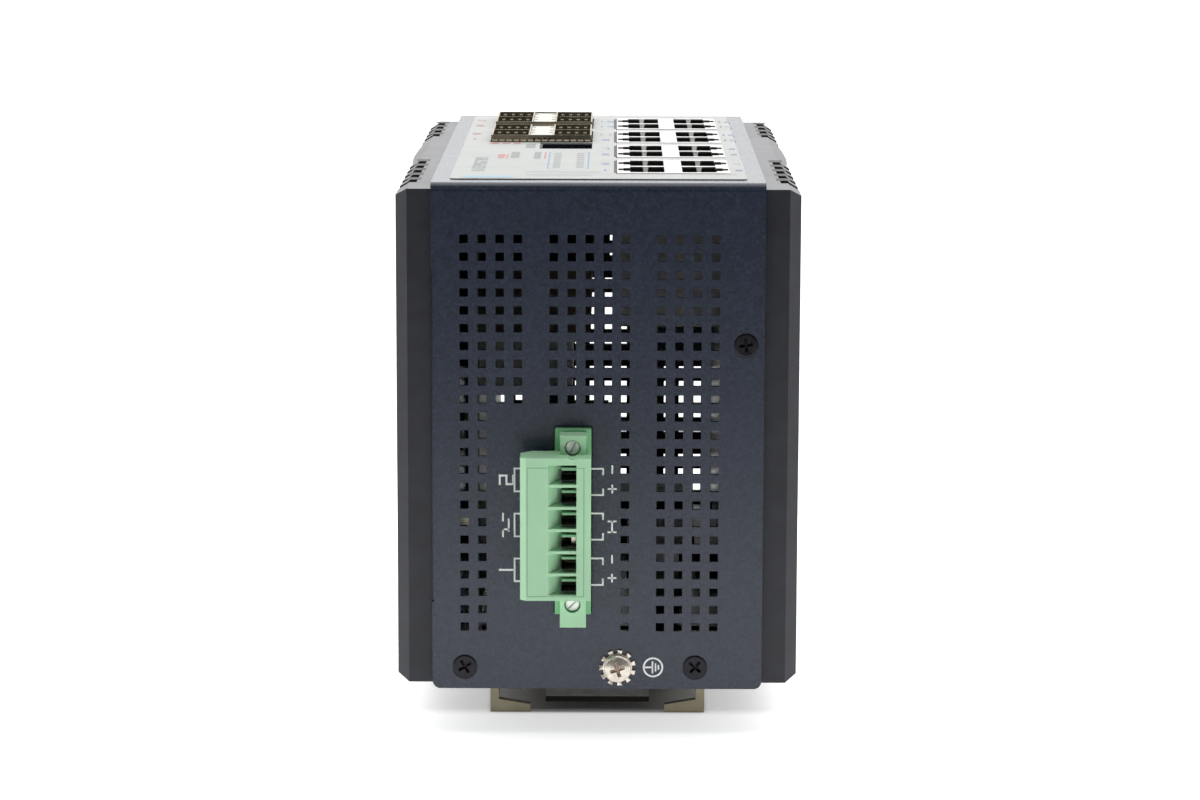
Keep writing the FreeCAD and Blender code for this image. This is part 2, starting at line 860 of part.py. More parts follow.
def make_film():
    """Printed film over the port panel, cut out round every port."""
    body = new_body("film_body")
    low = at_height(case_height)
    outline = rectangle((-film_half_width, film_half_width), (at_depth(film_start), at_depth(film_end)))
    prism(body, "film_sheet", "XY", (low, low + film_thick), [outline])

    def corner(a, b):
        return near(a.x, b.x) and near(a.y, b.y)

    round_edges(body, "film_corners", corner, film_round)
    loops = panel_openings(cutout_fit)
    for number in range(2):
        centre = at_depth(cage_centre(number))
        reach = cage_length / 2 + gasket_rim + cutout_fit
        side = gasket_rim + cutout_fit
        loops[4 + number] = rectangle(
            (cage_left - side, cage_right + side), (centre - reach, centre + reach)
        )
    carve(body, "film_openings", "XY", (low, low + film_thick), loops)
    node(body, "front_film")


def make_guides():
    """Clear bars that carry the port lights to the film, one node."""
    parts = []
    low, high = at_height(case_height - guide_depth), at_height(case_height)
    half = guide_width / 2
    for centre in (guide_left_x, guide_right_x):
        y = (at_depth(guide_start), at_depth(guide_start + guide_length))
        parts.append(box("guide_bar", (centre - half, centre + half), y, (low, high)))
    node(group("guides", parts), "light_guides")


# ---------------------------------------------------------------- port blocks

def port_outline(wall, way, centre, grow):
    """A jack's mouth with its two-step latch slot, seen from above.

    wall is the X of the latch side of the mouth and way points to the mouth.
    """
    mouth, latch, tip = jack_mouth / 2 + grow, latch_width / 2 + grow, latch_tip_width / 2 + grow
    base = wall - grow * way
    back = wall + (jack_mouth_height + grow) * way
    step = base - latch_step * way
    end = step - latch_tip * way
    return [
        (base, centre - mouth), (back, centre - mouth), (back, centre + mouth),
        (base, centre + mouth), (base, centre + latch), (step, centre + latch),
        (step, centre + tip), (end, centre + tip), (end, centre - tip),
        (step, centre - tip), (step, centre - latch), (base, centre - latch),
    ]


def block_ports(number, grow):
    """The four mouths of one block: two columns with their latches outwards."""
    loops = []
    for side in (-1, 1):
        centre = at_depth(jack_centre(number) + jack_port_half * side)
        loops.append(port_outline(jack_left + jack_mouth_start, 1, centre, grow))
        loops.append(port_outline(jack_right - jack_mouth_start, -1, centre, grow))
    return loops


def make_jack_block(number):
    """Shield and housing of a block of four modular jacks."""
    half = jack_block_length / 2
    low_y, high_y = at_depth(jack_centre(number) - half), at_depth(jack_centre(number) + half)
    top = at_height(case_height + jack_proud)
    bottom = top - jack_depth
    inside = shield_skin + shield_fit
    label = str(number + 1)

    shield = new_body("shield_body")
    outline = rectangle((jack_left, jack_right), (low_y, high_y))
    prism(shield, "shield_box", "XY", (bottom, top), [outline])
    hollow = rectangle(
        (jack_left + shield_skin, jack_right - shield_skin),
        (low_y + shield_skin, high_y - shield_skin),
    )
    carve(shield, "shield_hollow", "XY", (bottom, top - shield_skin), [hollow])
    carve(shield, "shield_mouths", "XY", (top - shield_skin, top), block_ports(number, shield_fit))
    node(shield, "jack_shield_" + label)

    housing = new_body("housing_body")
    core = rectangle((jack_left + inside, jack_right - inside), (low_y + inside, high_y - inside))
    crown = top - inside
    prism(housing, "housing_box", "XY", (bottom, crown), [core])
    carve(housing, "housing_mouths", "XY", (crown - jack_cavity_depth, crown), block_ports(number, 0))
    node(housing, "jack_housing_" + label)


def cage_columns():
    """X spans of the two columns of module bays."""
    return (
        (cage_left + cage_skin, cage_left + cage_skin + cage_mouth),
        (cage_right - cage_skin - cage_mouth, cage_right - cage_skin),
    )


def cage_rows(number):
    half = cage_port_half - cage_skin / 2
    spans = []
    for side in (-1, 1):
        centre = at_depth(cage_centre(number) + cage_port_half * side)
        spans.append((centre - half, centre + half))
    return spans


def make_cage(number):
    """A stacked sheet-metal cage with its gasket frame, strip and edge connectors."""
    label = str(number + 1)
    centre = at_depth(cage_centre(number))
    half = cage_length / 2
    top = at_height(case_height + cage_proud)
    bottom = top - cage_depth
    columns, rows = cage_columns(), cage_rows(number)

    cage = new_body("cage_body")
    outline = rectangle((cage_left, cage_right), (centre - half, centre + half))
    bays = [rectangle(x, y) for x in columns for y in rows]
    prism(cage, "cage_box", "XY", (bottom, top), [outline])
    carve(cage, "cage_bays", "XY", (bottom, top), bays)
    strip_x = (columns[0][1] + cage_skin, columns[1][0] - cage_skin)
    strip_y = (rows[0][0], rows[1][1])
    strip_low = top - cage_channel
    carve(cage, "cage_channel", "XY", (strip_low, top), [rectangle(strip_x, strip_y)])
    node(cage, "module_cage_" + label)

    fit = shield_fit
    strip = box(
        "strip",
        (strip_x[0] + fit, strip_x[1] - fit),
        (strip_y[0] + fit, strip_y[1] - fit),
        (strip_low, top - cage_skin),
    )
    node(strip, "cage_strip_" + label)

    rim = new_body("rim_body")
    reach = half + gasket_rim
    outer = rectangle(
        (cage_left - gasket_rim, cage_right + gasket_rim), (centre - reach, centre + reach)
    )
    inner = rectangle((cage_left - fit, cage_right + fit), (centre - half - fit, centre + half + fit))
    seat = at_height(case_height)
    prism(rim, "rim_frame", "XY", (seat, seat + gasket_thick), [outer, inner])
    node(rim, "cage_gasket_" + label)

    parts = []
    for x in columns:
        for y in rows:
            body_x, body_y = (x[0] + fit, x[1] - fit), (y[0] + fit, y[1] - fit)
            block = box("edge_block", body_x, body_y, (bottom, bottom + connector_height))
            middle = (x[0] + x[1]) / 2
            slot_x = (middle - module_slot / 2, middle + module_slot / 2)
            slot_y = (y[0] + module_slot, y[1] - module_slot)
            slot_z = (bottom + module_slot, bottom + connector_height)
            slot = box("edge_slot", slot_x, slot_y, slot_z)
            parts.append(cut("edge_connector", block, [slot]))
    node(group("edge_connectors", parts), "module_connectors_" + label)


def make_console():
    """Single jack that stands on the indicator board behind its own cut-out."""
    body = new_body("console_body")
    wall = (console_length - jack_mouth) / 2 + latch_step
    top = at_height(panel_inside)
    low_y, high_y = at_depth(console_start) - wall, at_depth(console_start + console_length) + wall
    outline = rectangle((console_left - shield_skin, console_right + shield_skin), (low_y, high_y))
    prism(body, "console_box", "XY", (indicator_top(), top), [outline])
    centre = at_depth(console_start + console_length / 2)
    mouth = port_outline(console_right - jack_mouth_height - shield_skin, 1, centre, 0)
    depth = top - indicator_top() - sheet_metal
    carve(body, "console_mouth", "XY", (top - depth, top), [mouth])
    node(body, "console_jack")


# --------------------------------------------------------------------- boards

def indicator_top():
    return at_height(case_height - console_depth + board_thick)


def port_board_span():
    return jack_right, jack_right + board_thick


def module_board_span():
    return cage_left - board_thick, cage_left


def make_boards():
    """The five circuit boards."""
    y, z = (at_depth(board_start), at_depth(board_end)), (at_height(board_low), at_height(board_high))
    node(box("port_board_box", port_board_span(), y, z), "port_board")
    node(box("module_board_box", module_board_span(), y, z), "module_board")
    top = at_height(power_board_height + board_thick)
    slab_y = (at_depth(power_board_start), at_depth(board_end))
    slab_x = (cage_left + sheet_gap, jack_right - sheet_gap)
    node(box("power_slab", slab_x, slab_y, (top - board_thick, top)), "power_board")
    depth = (at_depth(terminal_board_depth), at_depth(terminal_board_depth + board_thick))
    height = (at_height(terminal_board_low), at_height(terminal_board_high))
    width = (terminal_board_left, terminal_board_right)
    slab = new_body("terminal_slab")
    prism(slab, "terminal_outline", "XZ", depth, [rectangle(width, height)])
    carve(slab, "terminal_holes", "XZ", depth, pin_squares(thread_fit))
    node(slab, "terminal_board")
    level = indicator_top()
    slab_x = (cage_left + sheet_gap, jack_left - board_thick)
    slab_y = (at_depth(terminal_board_depth), at_depth(cage_centre(0) - cage_length / 2 - sheet_gap))
    node(box("indicator_slab", slab_x, slab_y, (level - board_thick, level)), "indicator_board")


def make_electronics():
    """Chips with their thermal pads, and what stands on the power board."""
    middle, level = at_depth(chip_depth), at_height(chip_height)
    half = chip_side / 2
    y, z = (middle - half, middle + half), (level - half, level + half)
    right, left = port_board_span()[1], module_board_span()[0]
    node(box("switch_die", (right, right + chip_thick), y, z), "switch_chip")
    node(box("fibre_die", (left - chip_thick, left), y, z), "fibre_chip")
    pad_x = (right + chip_thick, right + chip_thick + pad_thick)
    node(box("right_pad", pad_x, y, z), "thermal_pad_right")
    pad_x = (left - chip_thick - pad_thick, left - chip_thick)
    node(box("left_pad", pad_x, y, z), "thermal_pad_left")

    parts = []
    for number in range(4):
        centre = at_depth(jack_centre(number))
        y = (centre - phy_side / 2, centre + phy_side / 2)
        low = at_height(phy_height)
        parts.append(box("phy", (right, right + phy_thick), y, (low, low + phy_side)))
    node(group("phys", parts), "port_phy_chips")

    deck = at_height(power_board_height + board_thick)
    parts = []
    for depth in (can_depth, can_depth + can_spacing):
        parts.append(rod("can", can_radius, can_height, (can_x, at_depth(depth), deck), "+Z"))
    node(group("cans", parts), "smoothing_capacitors")
    parts = []
    x = (module_board_span()[1], module_board_span()[1] + film_can_height)
    z = (at_height(film_can_level), at_height(film_can_level) + film_can_length)
    for depth in (film_can_depth, film_can_depth + film_can_spacing):
        parts.append(box("film_can", x, (at_depth(depth), at_depth(depth) + film_can_length), z))
    node(group("film_cans", parts), "module_capacitors")
    parts = []
    for depth in (choke_depth, choke_depth + choke_spacing):
        parts.append(block("choke", choke_side, depth, choke_side, choke_height))
    node(group("chokes", parts), "inductors")
    node(block("core", core_width, core_depth, core_width, core_height), "transformer")
    node(block("relay_case", relay_width, relay_depth, relay_length, relay_height), "alarm_relay")


def block(name, width, depth, length, height):
    """A boxy part standing on the power board, centred on the right-hand row."""
    deck = at_height(power_board_height + board_thick)
    x = (parts_x - width / 2, parts_x + width / 2)
    return box(name, x, (at_depth(depth), at_depth(depth) + length), (deck, deck + height))


def make_links():
    """Connectors that join the boards to each other, face to face."""
    deck = at_height(power_board_height + board_thick)
    back = at_depth(terminal_board_depth + board_thick)
    z = (deck, deck + link_height)
    power_x = (can_x - link_width, can_x + link_width)
    node(box("link", power_x, (back, back + link_width), z), "power_link")
    y = (at_depth(link_start), at_depth(link_start) + link_length)
    node(box("right_link", (jack_right - link_width, jack_right), y, z), "port_board_link")
    node(box("left_link", (cage_left, cage_left + link_width), y, z), "module_board_link")
    level = indicator_top() - board_thick
    y = (at_depth(guide_start), at_depth(guide_start) + link_length)
    top_z = (level - link_height, level)
    node(box("top_link", (cage_left, cage_left + link_width), y, top_z), "indicator_board_link")


# ------------------------------------------------------- terminal and its plug

def pole_heights():
    return [at_height(pole_first + pole_pitch * n) for n in range(int(pole_count.value))]


def pin_squares(fit):
    """Outlines of the six square pins, with room around each."""
    half = pin_side / 2 + fit
    span = (ear_screw_x - half, ear_screw_x + half)
    return [rectangle(span, (level - half, level + half)) for level in pole_heights()]


def make_header():
    """Shrouded header: an open box with an ear above and below, and its pins."""
    body = new_body("header_body")
    front, back = near_y - header_proud, at_depth(terminal_board_depth)
    low, high = at_height(header_low), at_height(header_high)
    outline = rectangle((header_left, header_right), (low, high))
    prism(body, "header_box", "XZ", (front, back), [outline])
    inside = rectangle(
        (header_left + header_wall, header_right - header_wall),
        (at_height(plug_low) - header_wall / 2, at_height(plug_high) + header_wall / 2),
    )
    carve(body, "header_well", "XZ", (front, back - header_floor), [inside])
    ears = [(ear_screw_x, at_height(z), tap_radius) for z in (ear_screw_low, ear_screw_high)]
    carve(body, "ear_taps", "XZ", (front, back - header_floor), [], ears)
    carve(body, "pin_holes", "XZ", (back - header_floor, back), pin_squares(thread_fit))
    node(body, "terminal_header")

    parts = []
    half = pin_side / 2
    for level in pole_heights():
        board_back = at_depth(terminal_board_depth + board_thick)
        x = (ear_screw_x - half, ear_screw_x + half)
        y = (at_depth(plug_tongue) + shield_fit, board_back + header_floor)
        parts.append(box("pin", x, y, (level - half, level + half)))
    return parts


def make_plug():
    """Screw-clamp plug: stepped body with six funnels, wire slots and clamp holes."""
    body = new_body("plug_body")
    front, back = near_y - plug_proud, near_y - sheet_gap
    low, high = at_height(plug_low), at_height(plug_high)
    section = [
        (header_right, front), (header_right, front + plug_side_step),
        (header_right - header_wall - sheet_gap, front + plug_side_step + sheet_gap),
        (header_right - header_wall - sheet_gap, at_depth(plug_tongue)),
        (header_left + header_wall + sheet_gap, at_depth(plug_tongue)),
        (header_left + header_wall + sheet_gap, near_y - header_proud - sheet_gap),
        (plug_left + plug_step, near_y - header_proud - sheet_gap),
        (plug_left, near_y - header_proud - plug_step), (plug_left, front + plug_step / 2),
        (plug_left + plug_step / 2, front),
    ]
    prism(body, "plug_section", "XY", (low, high), [section])
    ear_front = near_y - plug_ear_front
    ears = rectangle(
        (plug_ear_left, plug_ear_right), (at_height(plug_ear_low), at_height(plug_ear_high))
    )
    prism(body, "plug_ears", "XZ", (ear_front, near_y - header_proud - sheet_gap), [ears])
    half = wire_slot_height / 2
    slots = [
        rectangle((wire_slot_left, wire_slot_right), (level - half, level + half))
        for level in pole_heights()
    ]
    carve(body, "plug_slots", "XZ", (front, front + wire_slot_depth), slots)
    mouth = half + funnel_lip
    for level in pole_heights():
        wide = rectangle((funnel_left, wire_slot_right), (level - mouth, level + mouth))
        narrow = rectangle((wire_slot_left, wire_slot_right), (level - half, level + half))
        rims = [
            sketch(body, "funnel_mouth", "XZ", front, [wide], []),
            sketch(body, "funnel_throat", "XZ", front + funnel_depth, [narrow], []),
        ]
        funnel = body.newObject("PartDesign::SubtractiveLoft", "plug_funnel")
        funnel.Profile, funnel.Sections, funnel.Ruled = rims[0], rims[1:], True
    bores = [(front + clamp_axis_depth, level, clamp_hole_radius) for level in pole_heights()]
    carve(body, "clamp_bores", "YZ", (plug_left, wire_slot_left), [], bores)
    pockets = [(ear_screw_x, at_height(z), ear_pocket_radius) for z in (ear_screw_low, ear_screw_high)]
    carve(body, "ear_pockets", "XZ", (front, near_y), [], pockets)
    node(body, "terminal_plug")


def make_terminal_metal(pins):
    """Pins, clamp screws and the two flange screws."""
    node(group("pins", pins), "header_pins")
    parts = []
    for level in pole_heights():
        start = (plug_left + clamp_screw_radius, near_y - plug_proud + clamp_axis_depth, level)
        length = wire_slot_left - plug_left - clamp_screw_radius - shield_fit
        parts.append(rod("clamp_screw", clamp_screw_radius, length, start, "+X"))
    node(group("clamps", parts), "clamp_screws")
    parts = []
    for height in (ear_screw_low, ear_screw_high):
        start = (ear_screw_x, near_y - plug_ear_front + header_wall, at_height(height))
        head = rod("flange_head", ear_screw_radius, ear_head_height, start, "+Y")
        length = plug_ear_front - header_wall + plug_tongue
        shank = rod("flange_shank", shank_radius, length, start, "+Y")
        parts.append(fuse("flange_screw", [head, shank]))
    node(group("flange_pair", parts), "plug_flange_screws")


# ------------------------------------------------------------------ fasteners

def pan_screw(name, radius, head_radius, head_height, length, seat, way):
    """A pan-head screw: the head on the near side of its seat, the shank beyond."""
    x, y, z = seat
    back = {"+Y": (x, y - head_height, z), "-Y": (x, y + head_height, z),
            "+Z": (x, y, z - head_height), "-Z": (x, y, z + head_height),
            "+X": (x - head_height, y, z), "-X": (x + head_height, y, z)}[way]
    head = rod(name + "_head", head_radius, head_height, back, way)
    shank = rod(name + "_shank", radius, length, seat, way)
    return fuse(name, [head, shank])


def make_case_screws():
    """Countersunk screws through the near and far panels, and the earth screw."""
    parts = []
    for x, height in SCREW_PLACES:
        for face, way, sign in ((near_y, "+Y", 1), (far_y, "-Y", -1)):
            start = (x, face, at_height(height))
            head = cone("screw_head", sink_head_radius, shank_radius, head_drop, start, way)
            start = (x, face + head_drop * sign, at_height(height))
            shank = rod("screw_shank", shank_radius, screw_length - head_drop, start, way)
            parts.append(fuse("case_screw", [head, shank]))
    node(group("case_screw_group", parts), "case_screws")

    seat = (ground_x, near_y - ground_washer_thick, at_height(low_screw_height))
    washer = rod("washer_disc", ground_washer_radius, ground_washer_thick, seat, "+Y")
    hole = rod("washer_hole", screw_radius + head_clearance, ground_washer_thick, seat, "+Y")
    node(cut("washer", washer, [hole]), "ground_washer")
    screw = pan_screw(
        "earth_screw", shank_radius, ground_head_radius, ground_head_height, screw_length, seat, "+Y"
    )
    node(screw, "ground_screw")


def board_fixing_places():
    depths, heights = (fixing_near, fixing_far), (fixing_low, fixing_high)
    return [(depth, height) for depth in depths for height in heights]


def make_standoffs():
    """Hexagonal posts between the side walls or the back and the boards."""
    right, left = [], []
    right_x, left_x = port_board_span()[1], module_board_span()[0]
    for depth, height in board_fixing_places():
        start = (right_x, at_depth(depth), at_height(height))
        right.append(hexagon("post", standoff_flats, wall_inside - right_x, start, "+X"))
        start = (-wall_inside, at_depth(depth), at_height(height))
        left.append(hexagon("post", standoff_flats, wall_inside + left_x, start, "+X"))
    node(group("right_posts", right), "port_board_standoffs")
    node(group("left_posts", left), "module_board_standoffs")
    floor = []
    for x in (-post_x, post_x):
        for depth in (post_near, post_far):
            start = (x, at_depth(depth), at_height(sheet_metal))
            floor.append(hexagon("post", standoff_flats, power_board_height - sheet_metal, start, "+Z"))
    node(group("floor_posts", floor), "power_board_standoffs")


# ------------------------------------------------------------------- rail clip

def make_clip():
    """Folded channel with a notch for the rail, hooks at the near end."""
    body = new_body("clip_body")
    base_top, base_low = at_height(0), at_height(0) - clip_sheet
    seat, low = at_height(0) - rail_seat, at_height(0) - clip_height
    start, end = at_depth(clip_start), at_depth(clip_end)
    half = clip_half_width
    prism(body, "clip_plate", "XY", (base_low, base_top), [rectangle((-half, half), (start, end))])
    rail_near = start + clip_sheet
    rail_far = rail_near + spring_room + rail_width + rail_clearance
    lip_top = seat - rail_flange_gap
    wall = [
        (start, base_low), (start, low), (rail_near + hook_reach, low),
        (rail_near + hook_reach, lip_top), (rail_near, lip_top), (rail_near, seat),
        (rail_far, seat), (rail_far, lip_top), (rail_far - catch_reach, low),
        (end, low), (end, base_low),
    ]
    for side in (-1, 1):
        span = sorted((half * side, (half - clip_sheet) * side), key=lambda edge: edge.value)
        prism(body, "clip_wall", "YZ", span, [wall])
        foot = [
            (half * side, low + foot_outer), (half * side, low),
            ((half - hook_width) * side, low), ((half - hook_width) * side, low + foot_inner),
        ]
        prism(body, "clip_foot", "XZ", (start, rail_near), [foot])
    holes = [(x, y, screw_radius + head_clearance) for x, y in clip_screw_places()]
    carve(body, "clip_holes", "XY", (base_low, base_top), [], holes)
    node(body, "rail_clip")

    leaf = new_body("leaf_body")
    skin = spring_thick
    bow = rail_near + spring_room - thread_fit
    strip = [
        (rail_near + spring_tail, base_low), (rail_near + spring_tail, base_low - skin),
        (rail_near + thread_fit + skin, base_low - skin), (bow, seat), (bow, seat - skin),
        (rail_near + thread_fit + skin, lip_top), (rail_near + thread_fit, lip_top),
        (bow - skin, seat - skin), (bow - skin, seat), (rail_near + thread_fit, base_low),
    ]
    prism(leaf, "leaf_strip", "YZ", (-spring_half_width, spring_half_width), [strip])
    x, y = clip_screw_places()[0]
    hole = (x, y, screw_radius + head_clearance)
    carve(leaf, "leaf_hole", "XY", (base_low - skin, base_low), [], [hole])
    node(leaf, "clip_spring")

    parts = []
    for (x, y), seat_level in zip(clip_screw_places(), (base_low - skin, base_low)):
        length = clip_height + sheet_metal - seat_level
        parts.append(pan_screw(
            "clip_screw", shank_radius, sink_head_radius, pan_head_height, length,
            (x, y, seat_level), "+Z",
        ))
    node(group("clip_screw_group", parts), "clip_screws")


# ------------------------------------------------------------- build and write

def broken_items():
    """Names of objects that failed to compute or hold no sound shape."""
    faults = [item.Name for item in doc.Objects if {"Invalid", "Error"} & set(item.State)]
    for item in NODES:
        shape = item.Shape
        if shape.isNull() or not shape.isValid() or not shape.Solids:
            faults.append(item.Label)
    return faults


def build():
    make_shell()
    make_chassis()
    make_heatsink("heat_sink_right", 1, port_board_span()[1] + chip_thick)
    make_heatsink("heat_sink_left", -1, module_board_span()[0] - chip_thick)
    make_film()
    make_guides()
    for number in range(4):
        make_jack_block(number)
    for number in range(2):
        make_cage(number)
    make_console()
    make_boards()
    make_electronics()
    make_links()
    pins = make_header()
    make_plug()
    make_terminal_metal(pins)
    make_case_screws()
    make_standoffs()
    make_clip()
    doc.recompute()
    faults = broken_items()
    if faults:
        raise SystemExit("not sound: " + ", ".join(faults))
    os.makedirs("parts", exist_ok=True)
    for item in NODES:
        item.Shape.exportStep(os.path.join("parts", item.Label + ".step"))
        print(item.Label, len(item.Shape.Solids), round(item.Shape.Volume, 1))


build()
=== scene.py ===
"""Looks of the DIN rail switch: camera, soft studio, materials and the small detail pieces.

The scene is in metres, in the shared frame. A place on the switch is given by its X, its
depth behind the near panel and its height above the case's back, in millimetres.
"""

import json
import math

import bpy
from mathutils import Matrix, Vector
from mathutils.geometry import delaunay_2d_cdt


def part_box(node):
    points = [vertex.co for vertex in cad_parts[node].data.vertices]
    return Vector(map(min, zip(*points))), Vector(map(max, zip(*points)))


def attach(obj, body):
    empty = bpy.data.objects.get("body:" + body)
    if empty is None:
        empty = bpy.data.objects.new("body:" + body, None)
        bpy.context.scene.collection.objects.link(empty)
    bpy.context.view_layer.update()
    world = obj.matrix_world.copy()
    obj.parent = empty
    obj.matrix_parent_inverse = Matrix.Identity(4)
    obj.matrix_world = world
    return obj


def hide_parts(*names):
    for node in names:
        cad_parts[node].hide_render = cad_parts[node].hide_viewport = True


MM = 0.001
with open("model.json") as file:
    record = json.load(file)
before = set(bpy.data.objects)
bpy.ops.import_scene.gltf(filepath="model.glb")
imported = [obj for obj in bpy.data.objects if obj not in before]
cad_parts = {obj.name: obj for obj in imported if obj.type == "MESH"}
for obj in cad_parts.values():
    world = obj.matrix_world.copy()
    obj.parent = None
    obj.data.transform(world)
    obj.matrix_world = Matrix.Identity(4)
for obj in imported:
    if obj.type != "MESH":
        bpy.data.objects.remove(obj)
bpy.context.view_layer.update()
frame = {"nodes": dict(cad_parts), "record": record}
nodes = frame["nodes"]
scene = bpy.context.scene
scene.view_settings.view_transform = "Standard"
scene.view_settings.look = "None"

SHELL_LOW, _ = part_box("main_shell")
NEAR = SHELL_LOW.y
BACK = SHELL_LOW.z


def at(x, depth, height):
    """A point of the switch, from millimetres."""
    return Vector((x * MM, NEAR + depth * MM, BACK + height * MM))


def extent(node):
    """A node's box as its ranges of X, depth and height, in millimetres."""
    low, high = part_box(node)
    return (
        (low.x / MM, high.x / MM), ((low.y - NEAR) / MM, (high.y - NEAR) / MM),
        ((low.z - BACK) / MM, (high.z - BACK) / MM),
    )


FILM_TOP = extent("front_film")[2][1]
PRINT_LIFT = 0.03

# ------------------------------------------------------------------ camera and stage

SENSOR_WIDTH = 36.0
FOCAL_LENGTH = 108.57
CAMERA_PLACE = (0.00311, -0.87406, 0.21145)
CAMERA_PITCH, CAMERA_YAW, CAMERA_ROLL = 80.4, 0.188, 0.167

FLOOR_REACH = 8.0
WORLD_FRONT, WORLD_BEHIND = 0.12, 0.95
ROOF_WIDTH, ROOF_NEAR, ROOF_FAR, ROOF_LEVEL = 8.0, -0.34, 6.0, 1.05
ROOF_RADIANCE = 1.42
FRONT_PLACE, FRONT_TARGET = (-0.35, -1.5, 0.95), (0.0, 0.0, 0.05)
FRONT_SIZE, FRONT_RADIANCE = (0.9, 0.5), 1.3
FLAG_HALF_WIDTH, FLAG_PLACE, FLAG_LOW, FLAG_HIGH = 1.1, -0.54, 0.02, 0.42


def make_camera():
    """A long lens in front of the near panel and a little above it."""
    camera = bpy.data.objects.new("camera", bpy.data.cameras.new("camera"))
    scene.collection.objects.link(camera)
    camera.data.sensor_width = SENSOR_WIDTH
    camera.data.lens = FOCAL_LENGTH
    camera.data.clip_start = 0.05
    camera.data.clip_end = 40.0
    turn = Matrix.Rotation(math.radians(CAMERA_YAW), 4, "Z")
    turn = turn @ Matrix.Rotation(math.radians(CAMERA_PITCH), 4, "X")
    turn = turn @ Matrix.Rotation(math.radians(CAMERA_ROLL), 4, "Z")
    camera.matrix_world = Matrix.Translation(Vector(CAMERA_PLACE)) @ turn
    scene.camera = camera


def link(obj):
    scene.collection.objects.link(obj)
    return obj


def mesh_object(name, verts, faces):
    mesh = bpy.data.meshes.new(name)
    mesh.from_pydata([tuple(v) for v in verts], [], faces)
    mesh.validate()
    mesh.update()
    return link(bpy.data.objects.new(name, mesh))


def area_light(name, place, target, size, radiance):
    """A soft box of a given brightness, hidden from the camera."""
    data = bpy.data.lights.new(name, "AREA")
    data.shape = "RECTANGLE"
    data.size, data.size_y = size
    data.energy = radiance * math.pi * size[0] * size[1]
    light = link(bpy.data.objects.new(name, data))
    light.location = place
    light.rotation_euler = (Vector(target) - Vector(place)).to_track_quat("-Z", "Y").to_euler()
    light.visible_camera = False


def make_world(front, behind):
    """Light that grows from the front of the studio to its back."""
    world = bpy.data.worlds.new("studio")
    scene.world = world
    world.use_nodes = True
    tree = world.node_tree
    background = tree.nodes["Background"]
    coords = tree.nodes.new("ShaderNodeTexCoord")
    split = tree.nodes.new("ShaderNodeSeparateXYZ")
    ramp = tree.nodes.new("ShaderNodeMapRange")
    ramp.inputs["From Min"].default_value = -0.5
    ramp.inputs["From Max"].default_value = 0.4
    ramp.inputs["To Min"].default_value = front
    ramp.inputs["To Max"].default_value = behind
    tree.links.new(coords.outputs["Generated"], split.inputs[0])
    tree.links.new(split.outputs["Y"], ramp.inputs["Value"])
    tree.links.new(ramp.outputs[0], background.inputs["Strength"])
    background.inputs["Color"].default_value = (1.0, 1.0, 1.0, 1.0)


def make_stage():
    """Table with painted glow and painted shadow, roof light, front light and a black flag that
    shades the near panel's top.
    """
    reach = FLOOR_REACH
    floor = mesh_object(
        "floor", [(-reach, -reach, 0), (reach, -reach, 0), (reach, reach, 0), (-reach, reach, 0)],
        [(0, 1, 2, 3)],
    )
    floor.data.materials.append(floor_paper())
    make_world(WORLD_FRONT, WORLD_BEHIND)
    middle = (ROOF_NEAR + ROOF_FAR) / 2
    area_light(
        "roof", (0.0, middle, ROOF_LEVEL), (0.0, middle, 0.0), (ROOF_WIDTH, ROOF_FAR - ROOF_NEAR),
        ROOF_RADIANCE,
    )
    area_light("front", FRONT_PLACE, FRONT_TARGET, FRONT_SIZE, FRONT_RADIANCE)
    half = FLAG_HALF_WIDTH
    corners = ((-half, FLAG_LOW), (half, FLAG_LOW), (half, FLAG_HIGH), (-half, FLAG_HIGH))
    flag = mesh_object("flag", [(x, FLAG_PLACE, z) for x, z in corners], [(0, 1, 2, 3)])
    flag.data.materials.append(moulded("flag_cloth", (0.012, 0.012, 0.013), 0.9))
    flag.visible_camera = False


# ------------------------------------------------------------------------- materials

# How brightly the table's painted glow shines round the switch, and the shares of it taken away as
# painted shadow under the case and under its clip.
PAINTED_TABLE_GLOW = 0.64
CASE_PAINTED_SHADOW, CLIP_PAINTED_SHADOW = 0.42, 0.57


